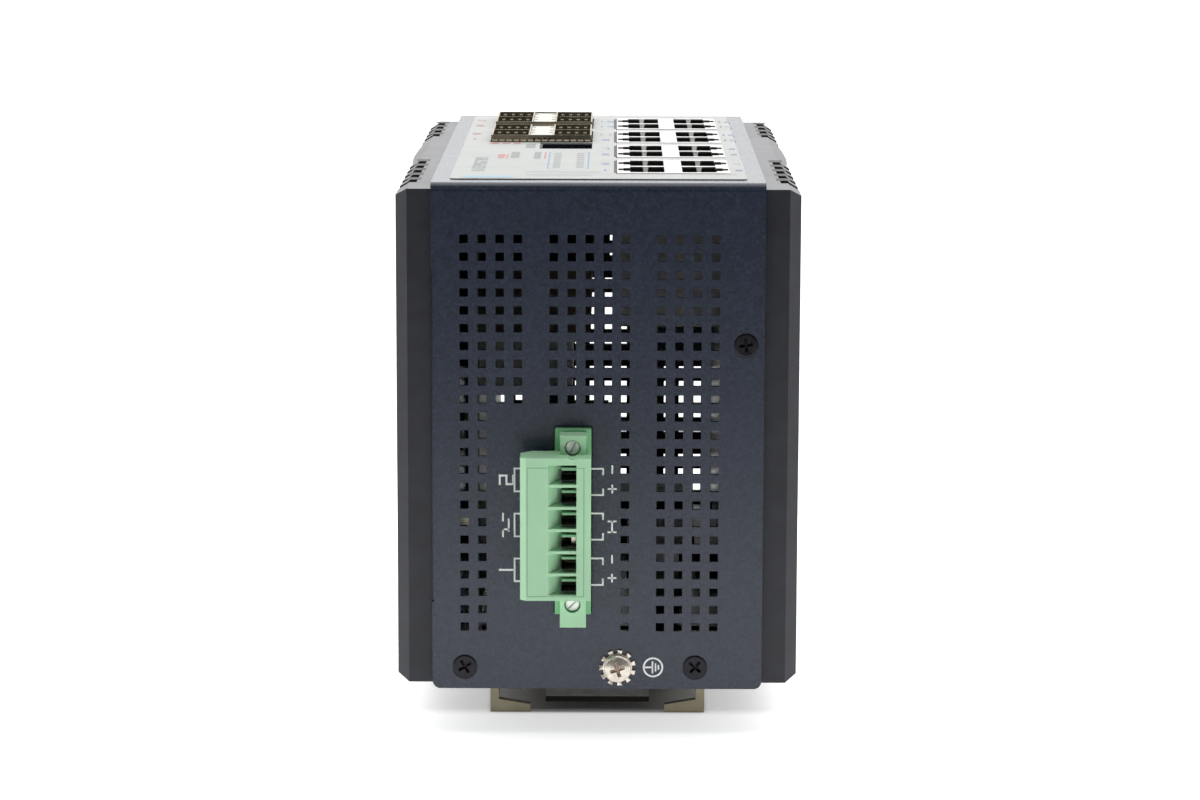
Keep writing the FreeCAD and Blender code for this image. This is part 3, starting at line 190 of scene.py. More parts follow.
class Look:
    """One procedural material under construction."""

    def __init__(self, name, colour, roughness, metallic=0.0):
        self.material = bpy.data.materials.new(name)
        self.material.use_nodes = True
        self.tree = self.material.node_tree
        self.shader = self.tree.nodes["Principled BSDF"]
        self.shader.inputs["Metallic"].default_value = metallic
        self.shader.inputs["Roughness"].default_value = roughness
        self.shader.inputs["Base Color"].default_value = (*colour, 1.0)
        self.colour = colour
        self.roughness = roughness
        coords = self.tree.nodes.new("ShaderNodeTexCoord")
        self.place = coords.outputs["Object"]

    def noise(self, scale, detail=2.0):
        node = self.tree.nodes.new("ShaderNodeTexNoise")
        node.inputs["Scale"].default_value = scale
        node.inputs["Detail"].default_value = detail
        self.tree.links.new(self.place, node.inputs["Vector"])
        return node.outputs["Fac"]

    def mottle(self, fac, darker, lighter, low=0.35, high=0.65):
        """Colour that varies between two shares of the base colour."""
        ramp = self.tree.nodes.new("ShaderNodeValToRGB")
        ramp.color_ramp.elements[0].position = low
        ramp.color_ramp.elements[1].position = high
        ramp.color_ramp.elements[0].color = (*(c * darker for c in self.colour), 1.0)
        ramp.color_ramp.elements[1].color = (*(min(c * lighter, 1.0) for c in self.colour), 1.0)
        self.tree.links.new(fac, ramp.inputs["Fac"])
        self.tree.links.new(ramp.outputs["Color"], self.shader.inputs["Base Color"])

    def vary_roughness(self, fac, spread):
        span = self.tree.nodes.new("ShaderNodeMapRange")
        span.inputs["To Min"].default_value = max(self.roughness - spread, 0.02)
        span.inputs["To Max"].default_value = min(self.roughness + spread, 1.0)
        self.tree.links.new(fac, span.inputs["Value"])
        self.tree.links.new(span.outputs[0], self.shader.inputs["Roughness"])

    def bump(self, fac, distance, strength=1.0):
        node = self.tree.nodes.new("ShaderNodeBump")
        node.inputs["Distance"].default_value = distance
        node.inputs["Strength"].default_value = strength
        self.tree.links.new(fac, node.inputs["Height"])
        self.tree.links.new(node.outputs["Normal"], self.shader.inputs["Normal"])

    def math(self, operation, first, second):
        node = self.tree.nodes.new("ShaderNodeMath")
        node.operation = operation
        for socket, value in zip(node.inputs, (first, second)):
            if isinstance(value, (int, float)):
                socket.default_value = value
            else:
                self.tree.links.new(value, socket)
        return node.outputs[0]

    def fade(self, value, start, end):
        """0 at start and before it, 1 at end and past it."""
        node = self.tree.nodes.new("ShaderNodeMapRange")
        node.interpolation_type = "SMOOTHSTEP"
        node.inputs["From Min"].default_value = start
        node.inputs["From Max"].default_value = end
        self.tree.links.new(value, node.inputs["Value"])
        return node.outputs[0]

    def patch(self, half_width, near, far):
        """1 inside a rectangle of the floor, 0 outside; a pair is where an edge starts and ends."""
        parts = self.tree.nodes.new("ShaderNodeSeparateXYZ")
        self.tree.links.new(self.place, parts.inputs[0])
        across = self.fade(self.math("ABSOLUTE", parts.outputs["X"], 0.0), *half_width)
        along = self.math(
            "MULTIPLY", self.fade(parts.outputs["Y"], *near), self.fade(parts.outputs["Y"], *far)
        )
        return self.math("MULTIPLY", across, along)

    def set(self, **values):
        for name, value in values.items():
            self.shader.inputs[name.replace("_", " ")].default_value = value
        return self


def floor_paper():
    """White table with a painted glow round the switch, dimmed as painted shadow where the case and
    its clip stand over it.
    """
    look = Look("floor_paper", (0.88, 0.88, 0.87), 0.9)
    look.mottle(look.noise(6.0), 0.985, 1.0)
    look.bump(look.noise(900.0), 0.0001, 0.2)
    # Painted light: the table glows in a patch round the switch, and the case and clip patches take
    # glow away as painted shadow.
    glow = look.patch(half_width=(0.30, 0.16), near=(-0.46, -0.24), far=(0.30, 0.16))
    case = look.patch(half_width=(0.052, 0.034), near=(-0.062, -0.054), far=(0.125, 0.09))
    clip = look.patch(half_width=(0.0262, 0.0232), near=(-0.0595, -0.0575), far=(0.04, 0.02))
    strength = look.math("MULTIPLY", glow, PAINTED_TABLE_GLOW)
    for shade, share in ((case, CASE_PAINTED_SHADOW), (clip, CLIP_PAINTED_SHADOW)):
        lost = look.math("MULTIPLY", shade, PAINTED_TABLE_GLOW * share)
        strength = look.math("SUBTRACT", strength, lost)
    look.set(Emission_Color=(1.0, 1.0, 1.0, 1.0))
    look.tree.links.new(strength, look.shader.inputs["Emission Strength"])
    return look.material


def powder_coat(name, colour):
    """Fine-textured paint: small raised grains, lighter on their tops."""
    look = Look(name, colour, 0.27)
    look.mottle(look.noise(1700.0, 3.0), 0.78, 1.5, 0.4, 0.72)
    look.bump(look.noise(1300.0, 3.0), 0.00003, 0.35)
    look.vary_roughness(look.noise(700.0), 0.06)
    return look.material


def satin_paint(name, colour):
    """Smooth paint with a low, even shine."""
    look = Look(name, colour, 0.38)
    look.mottle(look.noise(160.0, 4.0), 0.88, 1.14)
    look.vary_roughness(look.noise(60.0, 3.0), 0.05)
    look.bump(look.noise(2600.0, 2.0), 0.00002, 0.3)
    look.set(Specular_IOR_Level=0.34)
    return look.material


def moulded(name, colour, roughness, grain=2200.0):
    """Moulded plastic, ink or cloth with a fine grain."""
    look = Look(name, colour, roughness)
    look.mottle(look.noise(70.0, 3.0), 0.95, 1.05)
    look.bump(look.noise(grain, 2.0), 0.00002, 0.25)
    look.vary_roughness(look.noise(120.0), 0.04)
    return look.material


def printed(name, colour):
    """Matt overlay film or the ink on it."""
    look = Look(name, colour, 0.55)
    look.mottle(look.noise(90.0, 3.0), 0.97, 1.03)
    look.bump(look.noise(3000.0, 2.0), 0.00002, 0.3)
    look.set(Specular_IOR_Level=0.2)
    return look.material


def translucent(name, colour, roughness, glow):
    """Unfilled plastic that light enters a little way."""
    look = Look(name, colour, roughness)
    look.mottle(look.noise(60.0, 3.0), 0.96, 1.04)
    look.bump(look.noise(2400.0, 2.0), 0.00002, 0.2)
    look.set(Subsurface_Weight=glow, Subsurface_Scale=0.0012, Subsurface_Radius=(0.6, 1.0, 0.6))
    return look.material


def metal(name, colour, roughness, scale=500.0, share=1.0):
    """Plated or bare metal with a fine uneven skin; share is how metallic it is."""
    look = Look(name, colour, roughness, share)
    fac = look.noise(scale, 3.0)
    look.mottle(fac, 0.85, 1.12)
    look.vary_roughness(fac, 0.1)
    look.bump(look.noise(scale * 3.0), 0.00001, 0.2)
    return look.material


def clear(name, colour):
    """Clear plastic that light passes through."""
    look = Look(name, colour, 0.15)
    look.mottle(look.noise(80.0), 0.96, 1.0)
    look.set(Transmission_Weight=0.7, IOR=1.49)
    return look.material


def solder_mask(name, colour):
    """Lacquer of a circuit board, mottled by the copper under it."""
    look = Look(name, colour, 0.3)
    look.mottle(look.noise(700.0, 5.0), 0.7, 1.25)
    look.bump(look.noise(1800.0), 0.00003, 0.4)
    return look.material


def make_materials():
    return {
        "case_paint": powder_coat("case_powder_coat", (0.0195, 0.0275, 0.050)),
        "heat_sink_finish": satin_paint("heat_sink_satin", (0.025, 0.026, 0.034)),
        "film": printed("film_print_base", (0.40, 0.41, 0.40)),
        "guide": clear("light_guide_clear", (0.86, 0.9, 0.86)),
        "jack_metal": metal("jack_shield_tin", (0.47, 0.465, 0.455), 0.4),
        "jack_plastic": moulded("jack_black", (0.010, 0.010, 0.011), 0.4),
        "cage_metal": metal("cage_nickel", (0.30, 0.265, 0.195), 0.48),
        "cage_strip_plastic": moulded("cage_strip_cream", (0.50, 0.485, 0.435), 0.45),
        "board": solder_mask("board_green", (0.03, 0.12, 0.06)),
        "chip": moulded("chip_black", (0.02, 0.02, 0.02), 0.5),
        "thermal_pad": moulded("pad_grey", (0.30, 0.32, 0.36), 0.8),
        "capacitor_can": metal("capacitor_sleeve", (0.7, 0.7, 0.7), 0.35),
        "coil": moulded("ferrite_grey", (0.06, 0.06, 0.06), 0.6),
        "relay_case": moulded("relay_dark", (0.03, 0.03, 0.035), 0.35),
        "header_green": translucent("header_green", (0.27, 0.61, 0.33), 0.38, 0.25),
        "plug_green": translucent("plug_green", (0.44, 0.74, 0.48), 0.42, 0.2),
        "contact_metal": metal("contact_tin", (0.75, 0.70, 0.56), 0.3),
        "screw_nickel": metal("screw_nickel", (0.80, 0.73, 0.65), 0.27, share=0.75),
        "screw_black": metal("screw_black_oxide", (0.028, 0.028, 0.032), 0.34),
        "clip_zinc": metal("clip_zinc", (0.27, 0.24, 0.17), 0.38, 200.0),
        "spring_steel": metal("spring_steel", (0.10, 0.10, 0.095), 0.4),
        "white_ink": moulded("ink_white", (0.93, 0.94, 0.96), 0.5, 3000.0),
        "blue_ink": printed("ink_blue", (0.19, 0.26, 0.42)),
        "pale_blue_ink": printed("ink_pale_blue", (0.28, 0.42, 0.53)),
        "red_ink": printed("ink_red", (0.44, 0.20, 0.19)),
        "grey_ink": printed("ink_grey", (0.245, 0.25, 0.25)),
        "pale_grey_ink": printed("ink_pale_grey", (0.29, 0.30, 0.31)),
        # A darker copy of the cage nickel: painted shade on the spring fingers down in the bays;
        # the ticks on the cages' sides use it too.
        "cage_spring_shade": metal("cage_spring_shade_nickel", (0.21, 0.185, 0.135), 0.45),
        "pad_lilac": moulded("console_lug_grey", (0.20, 0.19, 0.21), 0.5),
        # Dark matt grey for the fin tops: painted shade over the finned part of the heat sinks.
        "fin_shade": moulded("fin_top_painted_shade", (0.075, 0.075, 0.072), 0.75),
        "bright_zinc": metal("screw_bright_zinc", (0.90, 0.89, 0.88), 0.42, share=0.45),
        # Grey for the slots of the zinc screws, darker than their heads: painted shade.
        "slot_shade_grey": metal("screw_slot_shade_grey", (0.55, 0.56, 0.55), 0.45, share=0.4),
        "tab_tin": metal("jack_tab_tin", (0.50, 0.49, 0.47), 0.45, share=0.6),
        # Near black for painted shade: recess walls and thin sheets put where shadow falls.
        "painted_shade_black": moulded("painted_shade_black", (0.006, 0.006, 0.006), 0.6),
        # A darker copy of the plug green: painted shade for the slot hoods and the engraved line.
        "plug_shade": translucent("plug_green_shade", (0.20, 0.44, 0.24), 0.5, 0.1),
        "gold": metal("contact_gold", (0.78, 0.56, 0.24), 0.25),
        # Darker brown for the recesses of the nickel screws: painted shade.
        "recess_shade_brown": metal("screw_recess_shade_brown", (0.42, 0.32, 0.24), 0.45, share=0.4),
    }


def dress_nodes(looks):
    """Gives every CAD node the look of its material slot."""
    rows = {row["node"]: row["material_slot"] for row in frame["record"]["subparts"]}
    for name, obj in nodes.items():
        obj.data.materials.clear()
        obj.data.materials.append(looks[rows[name]])


# -------------------------------------------------------------- small mesh building

def finish_piece(obj, look, smooth=False, bevel=0.0):
    obj.data.materials.append(look)
    if smooth:
        obj.data.shade_smooth()
        obj.data.set_sharp_from_angle(angle=math.radians(35.0))
    if bevel:
        edge = obj.modifiers.new("edge", "BEVEL")
        edge.width = bevel * MM
        edge.segments = 2
        edge.limit_method = "ANGLE"
    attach(obj, "root")
    return obj


class Build:
    """Vertices and faces of one piece, gathered shape by shape."""

    def __init__(self):
        self.verts, self.faces = [], []

    def add(self, verts, faces):
        first = len(self.verts)
        self.verts.extend(verts)
        self.faces.extend([first + i for i in face] for face in faces)

    def hexahedron(self, corners):
        """Eight corners: a loop of four, then the same loop moved."""
        self.add(corners, [
            (3, 2, 1, 0), (4, 5, 6, 7), (0, 1, 5, 4), (1, 2, 6, 5), (2, 3, 7, 6), (3, 0, 4, 7),
        ])

    def box(self, x, depth, height):
        loop = ((x[0], depth[0]), (x[1], depth[0]), (x[1], depth[1]), (x[0], depth[1]))
        self.hexahedron([at(u, v, level) for level in height for u, v in loop])

    def ribbon(self, points, across, thick, push):
        """A bent strip along points, wide along across and thick along push."""
        half, rise = across / 2, push * thick
        for start, end in zip(points, points[1:]):
            self.hexahedron([
                start - half, start + half, start + half + rise, start - half + rise,
                end - half, end + half, end + half + rise, end - half + rise,
            ])

    def piece(self, name, look, slot, smooth=False, bevel=0.0):
        return finish_piece(mesh_object(name, self.verts, self.faces), look, smooth, bevel)


def ring_points(radius, count):
    angles = [math.tau * i / count for i in range(count)]
    return [(radius * math.cos(angle), radius * math.sin(angle)) for angle in angles]


def plane_basis(side):
    """Right, up and outward directions of a face of the switch."""
    if side == "near":
        return Vector((1, 0, 0)), Vector((0, 0, 1)), Vector((0, -1, 0))
    if side == "far":
        return Vector((-1, 0, 0)), Vector((0, 0, 1)), Vector((0, 1, 0))
    if side == "left":
        return Vector((0, -1, 0)), Vector((0, 0, 1)), Vector((-1, 0, 0))
    return Vector((1, 0, 0)), Vector((0, 1, 0)), Vector((0, 0, 1))


def inside(point, loop):
    """Whether a point lies inside a closed loop."""
    hit = False
    for i, (x0, y0) in enumerate(loop):
        x1, y1 = loop[(i + 1) % len(loop)]
        if (y0 > point[1]) != (y1 > point[1]):
            if point[0] < (x1 - x0) * (point[1] - y0) / (y1 - y0) + x0:
                hit = not hit
    return hit


def flat_sheet(name, shapes, origin, side="near"):
    """One mesh of filled polygons, each an outer loop and its holes, in mm about origin."""
    right, up, _ = plane_basis(side)
    verts, faces = [], []
    for loops in shapes:
        flat, edges = [], []
        for loop in loops:
            first = len(flat)
            flat.extend(Vector(point) for point in loop)
            edges.extend((first + i, first + (i + 1) % len(loop)) for i in range(len(loop)))
        outer = loops[0]
        kind = 0 if len(loops) == 1 else 1
        points, _, polygons, _, _, _ = delaunay_2d_cdt(flat, edges, [], kind, 1e-6)
        for polygon in polygons:
            middle = sum((points[i] for i in polygon), Vector((0, 0))) / len(polygon)
            if inside(middle, outer) and not any(inside(middle, hole) for hole in loops[1:]):
                faces.append([len(verts) + i for i in polygon])
        verts.extend(origin + (right * point.x + up * point.y) * MM for point in points)
    return mesh_object(name, verts, faces)


def bar(x0, y0, x1, y1):
    return [[(x0, y0), (x1, y0), (x1, y1), (x0, y1)]]


def annulus(x, y, outer, inner, count=48):
    return [[(x + u, y + v) for u, v in ring_points(radius, count)] for radius in (outer, inner)]


def merged(boxes):
    """Bars that cover the same area as (x0, y0, x1, y1) boxes and never overlap."""
    columns = sorted({round(value, 5) for box in boxes for value in (box[0], box[2])})
    rows = sorted({round(value, 5) for box in boxes for value in (box[1], box[3])})
    shapes = []
    for low, high in zip(rows, rows[1:]):
        y, start = (low + high) / 2, None
        for left, right in zip(columns, columns[1:]):
            x = (left + right) / 2
            filled = any(box[0] < x < box[2] and box[1] < y < box[3] for box in boxes)
            if filled and start is None:
                start = left
            if start is not None and not filled:
                shapes.append(bar(start, low, left, high))
                start = None
        if start is not None:
            shapes.append(bar(start, low, columns[-1], high))
    return shapes


def stroke(points, width):
    """Bars along a polyline of level and upright runs."""
    half = width / 2
    return merged([
        (min(x0, x1) - half, min(y0, y1) - half, max(x0, x1) + half, max(y0, y1) + half)
        for (x0, y0), (x1, y1) in zip(points, points[1:])
    ])


DIGITS = {
    "0": ((0, 0), (1, 0), (1, 2), (0, 2), (0, 0)),
    "1": ((0.5, 0), (0.5, 2)),
    "2": ((0, 2), (1, 2), (1, 1), (0, 1), (0, 0), (1, 0)),
    "3": ((0, 2), (1, 2), (1, 1), (0.3, 1), (1, 1), (1, 0), (0, 0)),
    "4": ((0, 2), (0, 1), (1, 1), (1, 2), (1, 0)),
    "5": ((1, 2), (0, 2), (0, 1), (1, 1), (1, 0), (0, 0)),
    "6": ((1, 2), (0, 2), (0, 0), (1, 0), (1, 1), (0, 1)),
    "7": ((0, 2), (1, 2), (1, 0)),
    "8": ((0, 0), (1, 0), (1, 2), (0, 2), (0, 0), (0, 1), (1, 1)),
    "9": ((0, 0), (1, 0), (1, 2), (0, 2), (0, 1), (1, 1)),
}
FIGURE_STEP = 1.7


def figures(text, x, y, height, width=0.2, turned=False, stretch=1.0):
    """Plain figures as strokes, centred on a point; turned ones read upwards.

    width is a stroke's share of the height.
    """
    unit = height / 2
    step = unit * FIGURE_STEP
    shapes = []
    start = -(len(text) * step - (step - unit)) / 2
    for index, figure in enumerate(text):
        left = start + index * step
        points = [(left + u * unit, v * unit - height / 2) for u, v in DIGITS[figure]]
        if turned:
            points = [(-v, u) for u, v in points]
        shapes.extend(stroke([(x + u, y + v * stretch) for u, v in points], height * width))
    return shapes


def turned_loop(corners, turn):
    cos, sin = math.cos(turn), math.sin(turn)
    return [(u * cos - v * sin, u * sin + v * cos) for u, v in corners]


def cross_loop(arm, half, turn):
    """Outline of a cross recess."""
    arm_end = ((arm, -half), (arm, half), (half, half))
    corners = []
    for quarter in range(4):
        corners += turned_loop(arm_end, turn + quarter * math.pi / 2)
    return corners


def slot_loop(arm, half, turn):
    return turned_loop(((-arm, -half), (arm, -half), (arm, half), (-arm, half)), turn)


SCREW_SIDES = 48
DOME_RINGS = (1.0, 0.94, 0.82, 0.66)
DOME_SAG, RIM_START, RIM_DROP = 0.45, 0.94, 0.1
RECESS_TAPER = 0.55


def ring_walls(rows, count):
    """Faces between rows of count points each, and the face that closes the last row."""
    faces = []
    for row in range(rows - 1):
        low, high = row * count, (row + 1) * count
        for i in range(count):
            j = (i + 1) % count
            faces.append([low + i, low + j, high + j, high + i])
    faces.append([(rows - 1) * count + i for i in range(count)])
    return faces


def add_screw(build, pit, centre, side, radius, rise, recess, depth, profile):
    """A screw: its domed top round a real recess, then rings of (radius, depth) to its point.

    The walls and floor of the recess go to pit, a piece of their own that the callers colour darker
    as painted shade.
    """
    right, up, out = plane_basis(side)
    count = SCREW_SIDES

    def place(u, v, level):
        return centre + (right * u + up * v + out * level) * MM

    def top(point):
        share = min(point.length / radius, 1.0)
        edge = max(share - RIM_START, 0.0) / (1.0 - RIM_START)
        return rise * (1.0 - DOME_SAG * share ** 3) - RIM_DROP * edge

    outer, *inner = [ring_points(radius * share, count) for share in DOME_RINGS]
    size = len(recess)
    flat = [Vector(point) for point in list(recess) + outer]
    flat += [Vector(point) for ring in inner for point in ring if not inside(point, recess)]
    edges = [(i, (i + 1) % size) for i in range(size)]
    edges += [(size + i, size + (i + 1) % count) for i in range(count)]
    points, _, polygons, _, _, _ = delaunay_2d_cdt(flat, edges, [], 1, 1e-6)
    faces = [
        list(polygon) for polygon in polygons
        if not inside(sum((points[i] for i in polygon), Vector((0, 0))) / len(polygon), recess)
    ]
    build.add([place(p.x, p.y, top(p)) for p in points], faces)
    walls = [place(u, v, top(Vector((u, v)))) for u, v in recess]
    walls += [place(u * RECESS_TAPER, v * RECESS_TAPER, rise - depth) for u, v in recess]
    pit.add(walls, ring_walls(2, size))
    rows = [(radius, -top(Vector((radius, 0))))] + list(profile)
    verts = [place(u, v, -down) for ring, down in rows for u, v in ring_points(ring, count)]
    build.add(verts, ring_walls(len(rows), count))


# ------------------------------------------------------------------ near panel details

PANEL_LINE = 0.38
SIGN_ARM = 0.8
SIGN_X = 3.3
EARTH_X, EARTH_HEIGHT = 12.65, 5.0


def make_panel_print():
    """White marks beside the terminal: brackets, figures, signs and the earth symbol."""
    shapes = []

    def line(*points):
        shapes.extend(stroke(points, PANEL_LINE))

    # Left of the plug: a bracket for each pair of poles, with a figure or a contact sign.
    for top, low, figure in ((50.6, 45.4, "2"), (40.3, 35.1, None), (30.0, 24.8, "1")):
        line((-17.3, top), (-18.6, top), (-18.6, low), (-17.3, low))
        if figure:
            middle = (top + low) / 2
            shapes += figures(figure, -20.4, middle, 3.0, turned=True, width=0.15, stretch=1.3)
    middle, outer, inner = 37.7, -21.2, -19.9
    line((outer, middle + 2.6), (outer, middle + 1.0))
    line((outer, middle - 2.6), (outer, middle - 1.0))
    line((inner, middle + 1.3), (inner, middle - 1.3))
    line((outer, middle - 1.0), (inner, middle - 1.0))

    # Right of the plug: half brackets, plus and minus signs and a closed contact.
    for top, low in ((50.6, 44.6), (40.4, 34.4), (30.1, 24.0)):
        line((-1.3, top), (1.25, top), (1.25, top - 1.3))
        line((-1.3, low), (1.25, low), (1.25, low + 1.3))
    for height in (46.0, 25.6):
        line((SIGN_X - SIGN_ARM, height), (SIGN_X + SIGN_ARM, height))
        line((SIGN_X, height - SIGN_ARM), (SIGN_X, height + SIGN_ARM))
    for height in (50.4, 29.9):
        line((SIGN_X, height - SIGN_ARM), (SIGN_X, height + SIGN_ARM))
    for height in (38.6, 36.1):
        line((SIGN_X - SIGN_ARM, height), (SIGN_X + SIGN_ARM, height))
    line((SIGN_X, 38.6), (SIGN_X, 36.1))

    shapes += [annulus(EARTH_X, EARTH_HEIGHT, 2.3, 1.9), bar(10.7, 4.8, 12.5, 5.2)]
    for x, reach in ((12.35, 1.4), (13.05, 0.95), (13.7, 0.55)):
        shapes.append(bar(x, EARTH_HEIGHT - reach, x + 0.34, EARTH_HEIGHT + reach))
    sheet = flat_sheet("panel_print", shapes, at(0, -PRINT_LIFT, 0), "near")
    finish_piece(sheet, looks["white_ink"])


def make_case_screws():
    """Six countersunk screws with cross recesses, their recess walls near black as painted shade.
    """
    build, pit = Build(), Build()
    (_, (near, far), _) = extent("case_screws")
    head_radius, recess_depth = 2.76, 1.2
    body = [(1.3, 1.55), (1.25, 5.6), (0.9, 6.0)]
    for x, height, turn in ((33.0, 78.6, 0.15), (-29.85, 5.0, 0.55), (22.1, 5.0, 0.85)):
        recess = cross_loop(1.7, 0.34, turn)
        for side, depth in (("near", near), ("far", far)):
            centre = at(x, depth, height)
            add_screw(build, pit, centre, side, head_radius, 0.0, recess, recess_depth, body)
    screws = build.piece("case_screw_set", looks["screw_black"], "screw_black", smooth=True)
    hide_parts("case_screws")
    # Painted shade: the recess walls are darker than the screws.
    pit.piece("case_screw_recess_shade", looks["painted_shade_black"], "screw_black")


WASHER_SIDES, WASHER_TEETH, WASHER_TURN = 66, 11, 0.28
WASHER_INNER, WASHER_BODY, TOOTH_TIP = 1.6, 3.3, 4.12
TOOTH_ROOT_HALF, TOOTH_TIP_HALF = 0.42, 0.62
TOOTH_LIFT, TOOTH_DROP = 0.2, -0.05
GROUND_HEAD_RADIUS = 3.05


def make_ground_washer():
    """Washer whose outer teeth are twisted out of its plane."""
    (x_range, _, z_range) = extent("ground_washer")
    middle = at(sum(x_range) / 2, 0, sum(z_range) / 2)
    build = Build()
    count = WASHER_SIDES
    right, up, out = plane_basis("near")
    verts = [
        middle + (right * u + up * v + out * level) * MM
        for level in (0.15, 0.65) for radius in (WASHER_INNER, WASHER_BODY)
        for u, v in ring_points(radius, count)
    ]
    faces = []
    for i in range(count):
        j = (i + 1) % count
        a, b, c, d = (i, count + i, 3 * count + i, 2 * count + i)
        e, f, g, h = (j, count + j, 3 * count + j, 2 * count + j)
        faces += [[a, e, f, b], [b, f, g, c], [c, g, h, d], [d, h, e, a]]
    build.add(verts, faces)
    root = WASHER_BODY - 0.1
    for tooth in range(WASHER_TEETH):
        angle = math.tau * tooth / WASHER_TEETH + WASHER_TURN
        along = Vector((math.cos(angle), math.sin(angle)))
        across = Vector((-along.y, along.x))
        corners = []
        for level in (0.1, 0.6):
            for radius, half, twist in (
                (root, -TOOTH_ROOT_HALF, 0.0), (TOOTH_TIP, -TOOTH_TIP_HALF, TOOTH_DROP),
                (TOOTH_TIP, TOOTH_TIP_HALF, TOOTH_LIFT), (root, TOOTH_ROOT_HALF, 0.0),
            ):
                spot = along * radius + across * half
                corners.append(middle + (right * spot.x + up * spot.y + out * (level + twist)) * MM)
        build.hexahedron(corners)
    washer = build.piece("toothed_washer", looks["screw_nickel"], "screw_nickel", bevel=0.13)
    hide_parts("ground_washer")


def make_ground_screw():
    """Nickel pan head that holds the toothed washer."""
    (x_range, (washer_near, _), z_range) = extent("ground_washer")
    (_, (head_near, _), _) = extent("ground_screw")
    build, pit = Build(), Build()
    radius = GROUND_HEAD_RADIUS
    add_screw(
        build, pit, at(sum(x_range) / 2, washer_near, sum(z_range) / 2), "near", radius,
        washer_near - head_near, cross_loop(1.75, 0.42, 0.32), 0.6,
        [(radius, 0.0), (1.5, 0.0), (1.5, 5.6), (1.1, 5.95)],
    )
    head = build.piece("ground_screw_set", looks["screw_nickel"], "screw_nickel", smooth=True)
    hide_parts("ground_screw")
    # Painted shade: the recess is a darker brown than the nickel head.
    pit.piece("ground_screw_recess_shade", looks["recess_shade_brown"], "screw_nickel")


# --------------------------------------------------------------------- power terminal

POLE_HEIGHTS = [26.4 + 5.0 * pole for pole in range(6)]
PLUG_FRONT = extent("terminal_plug")[1][0]
SLOT_LEFT, SLOT_RIGHT = -7.88, -4.64
CLAMP_LEFT, CLAMP_RIGHT = -7.7, -4.8
ENGRAVING = ((-15.5, 23.95), (-15.5, 52.95), (-2.95, 52.95), (-2.95, 23.95), (-15.5, 23.95))


def make_flange_screws():
    """The two slotted screws that hold the plug on its header."""
    build, pit = Build(), Build()
    (x_range, (near, _), (low, high)) = extent("plug_flange_screws")
    radius, x, rise = (x_range[1] - x_range[0]) / 2, sum(x_range) / 2, 0.25
    for height, turn in ((high - radius, 1.15), (low + radius, 0.8)):
        add_screw(
            build, pit, at(x, near + rise, height), "near", radius, rise,
            slot_loop(radius * 0.9, 0.17, turn), 0.3, [(radius, 1.4), (1.2, 1.4), (1.2, 13.6)],
        )
    screws = build.piece("flange_screw_set", looks["bright_zinc"], "screw_nickel", smooth=True)
    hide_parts("plug_flange_screws")
    # Painted shade: the slots are a darker grey than the zinc heads.
    pit.piece("flange_screw_slot_shade", looks["slot_shade_grey"], "screw_nickel")


def make_plug_engraving():
    """The fine line round the plug's face, in the darker green that paints the shade of its groove.
    """
    shapes = stroke(ENGRAVING, 0.16)
    sheet = flat_sheet("plug_engraving", shapes, at(0, PLUG_FRONT - 0.02, 0), "near")
    finish_piece(sheet, looks["plug_shade"])


def make_wire_slots():
    """Hoods in the wire slots in the darker green of painted shade, and near-black sheets of
    painted shade deep in the slots.
    """
    hoods, slot_shade_sheets = Build(), Build()
    front = PLUG_FRONT
    for height in POLE_HEIGHTS:
        hoods.box(
            (SLOT_LEFT, SLOT_RIGHT), (front + 0.45, front + 3.6), (height + 0.92, height + 1.42)
        )
        # Painted shade: near-black sheets inside each slot, below the pole and along its left wall.
        slot_shade_sheets.box(
            (SLOT_LEFT, SLOT_RIGHT), (front + 0.45, front + 7.0), (height - 1.42, height - 1.28)
        )
        slot_shade_sheets.box(
            (SLOT_LEFT - 0.12, SLOT_LEFT), (front + 1.5, front + 7.0), (height - 1.42, height + 0.9)
        )
    hoods.piece("wire_slot_hoods", looks["plug_shade"], "plug_green")
    slot_shade_sheets.piece("wire_slot_shade", looks["painted_shade_black"], "plug_green")


def make_wire_clamps():
    """The clamp in each wire slot, three of them further forward, and the screws that work them."""
    clamps, heads, slots = Build(), Build(), Build()
    front = PLUG_FRONT
    (_, bore_range, _) = extent("clamp_screws")
    bore, radius = sum(bore_range) / 2, 1.68
    shank = [(radius, 2.2), (1.2, 2.2), (1.2, 7.3)]
    depths = (front + 8.2, front + 9.4)
    for pole, height in enumerate(POLE_HEIGHTS):
        clamps.box((CLAMP_LEFT, CLAMP_RIGHT), depths, (height + 0.55, height + 1.35))
        clamps.box((CLAMP_LEFT, CLAMP_RIGHT), depths, (height - 1.35, height - 1.05))
        clamps.box((CLAMP_LEFT, CLAMP_LEFT + 0.4), depths, (height - 1.05, height + 0.55))
        slot = slot_loop(1.5, 0.24, 0.3 + 0.5 * pole)
        add_screw(heads, slots, at(-15.35, bore, height), "left", radius, 0.0, slot, 0.7, shank)
    for pole, x, start, low, high in (
        (2, (-5.75, -4.72), 3.6, -1.25, 1.3), (1, (-7.0, -4.75), 4.0, 0.95, 1.38),
        (3, (-7.0, -4.75), 6.0, 1.1, 1.38),
    ):
        height = POLE_HEIGHTS[pole]
        clamps.box(x, (front + start, front + 8.0), (height + low, height + high))
    clamps.piece("wire_clamps", looks["contact_metal"], "contact_metal", bevel=0.05)
    screws = heads.piece("clamp_screw_set", looks["screw_nickel"], "screw_nickel", smooth=True)
    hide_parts("clamp_screws")
    # Painted shade: the slots are a darker brown than the nickel heads.
    slots.piece("clamp_screw_slot_shade", looks["recess_shade_brown"], "screw_nickel")


# ------------------------------------------------------------------- port panel details

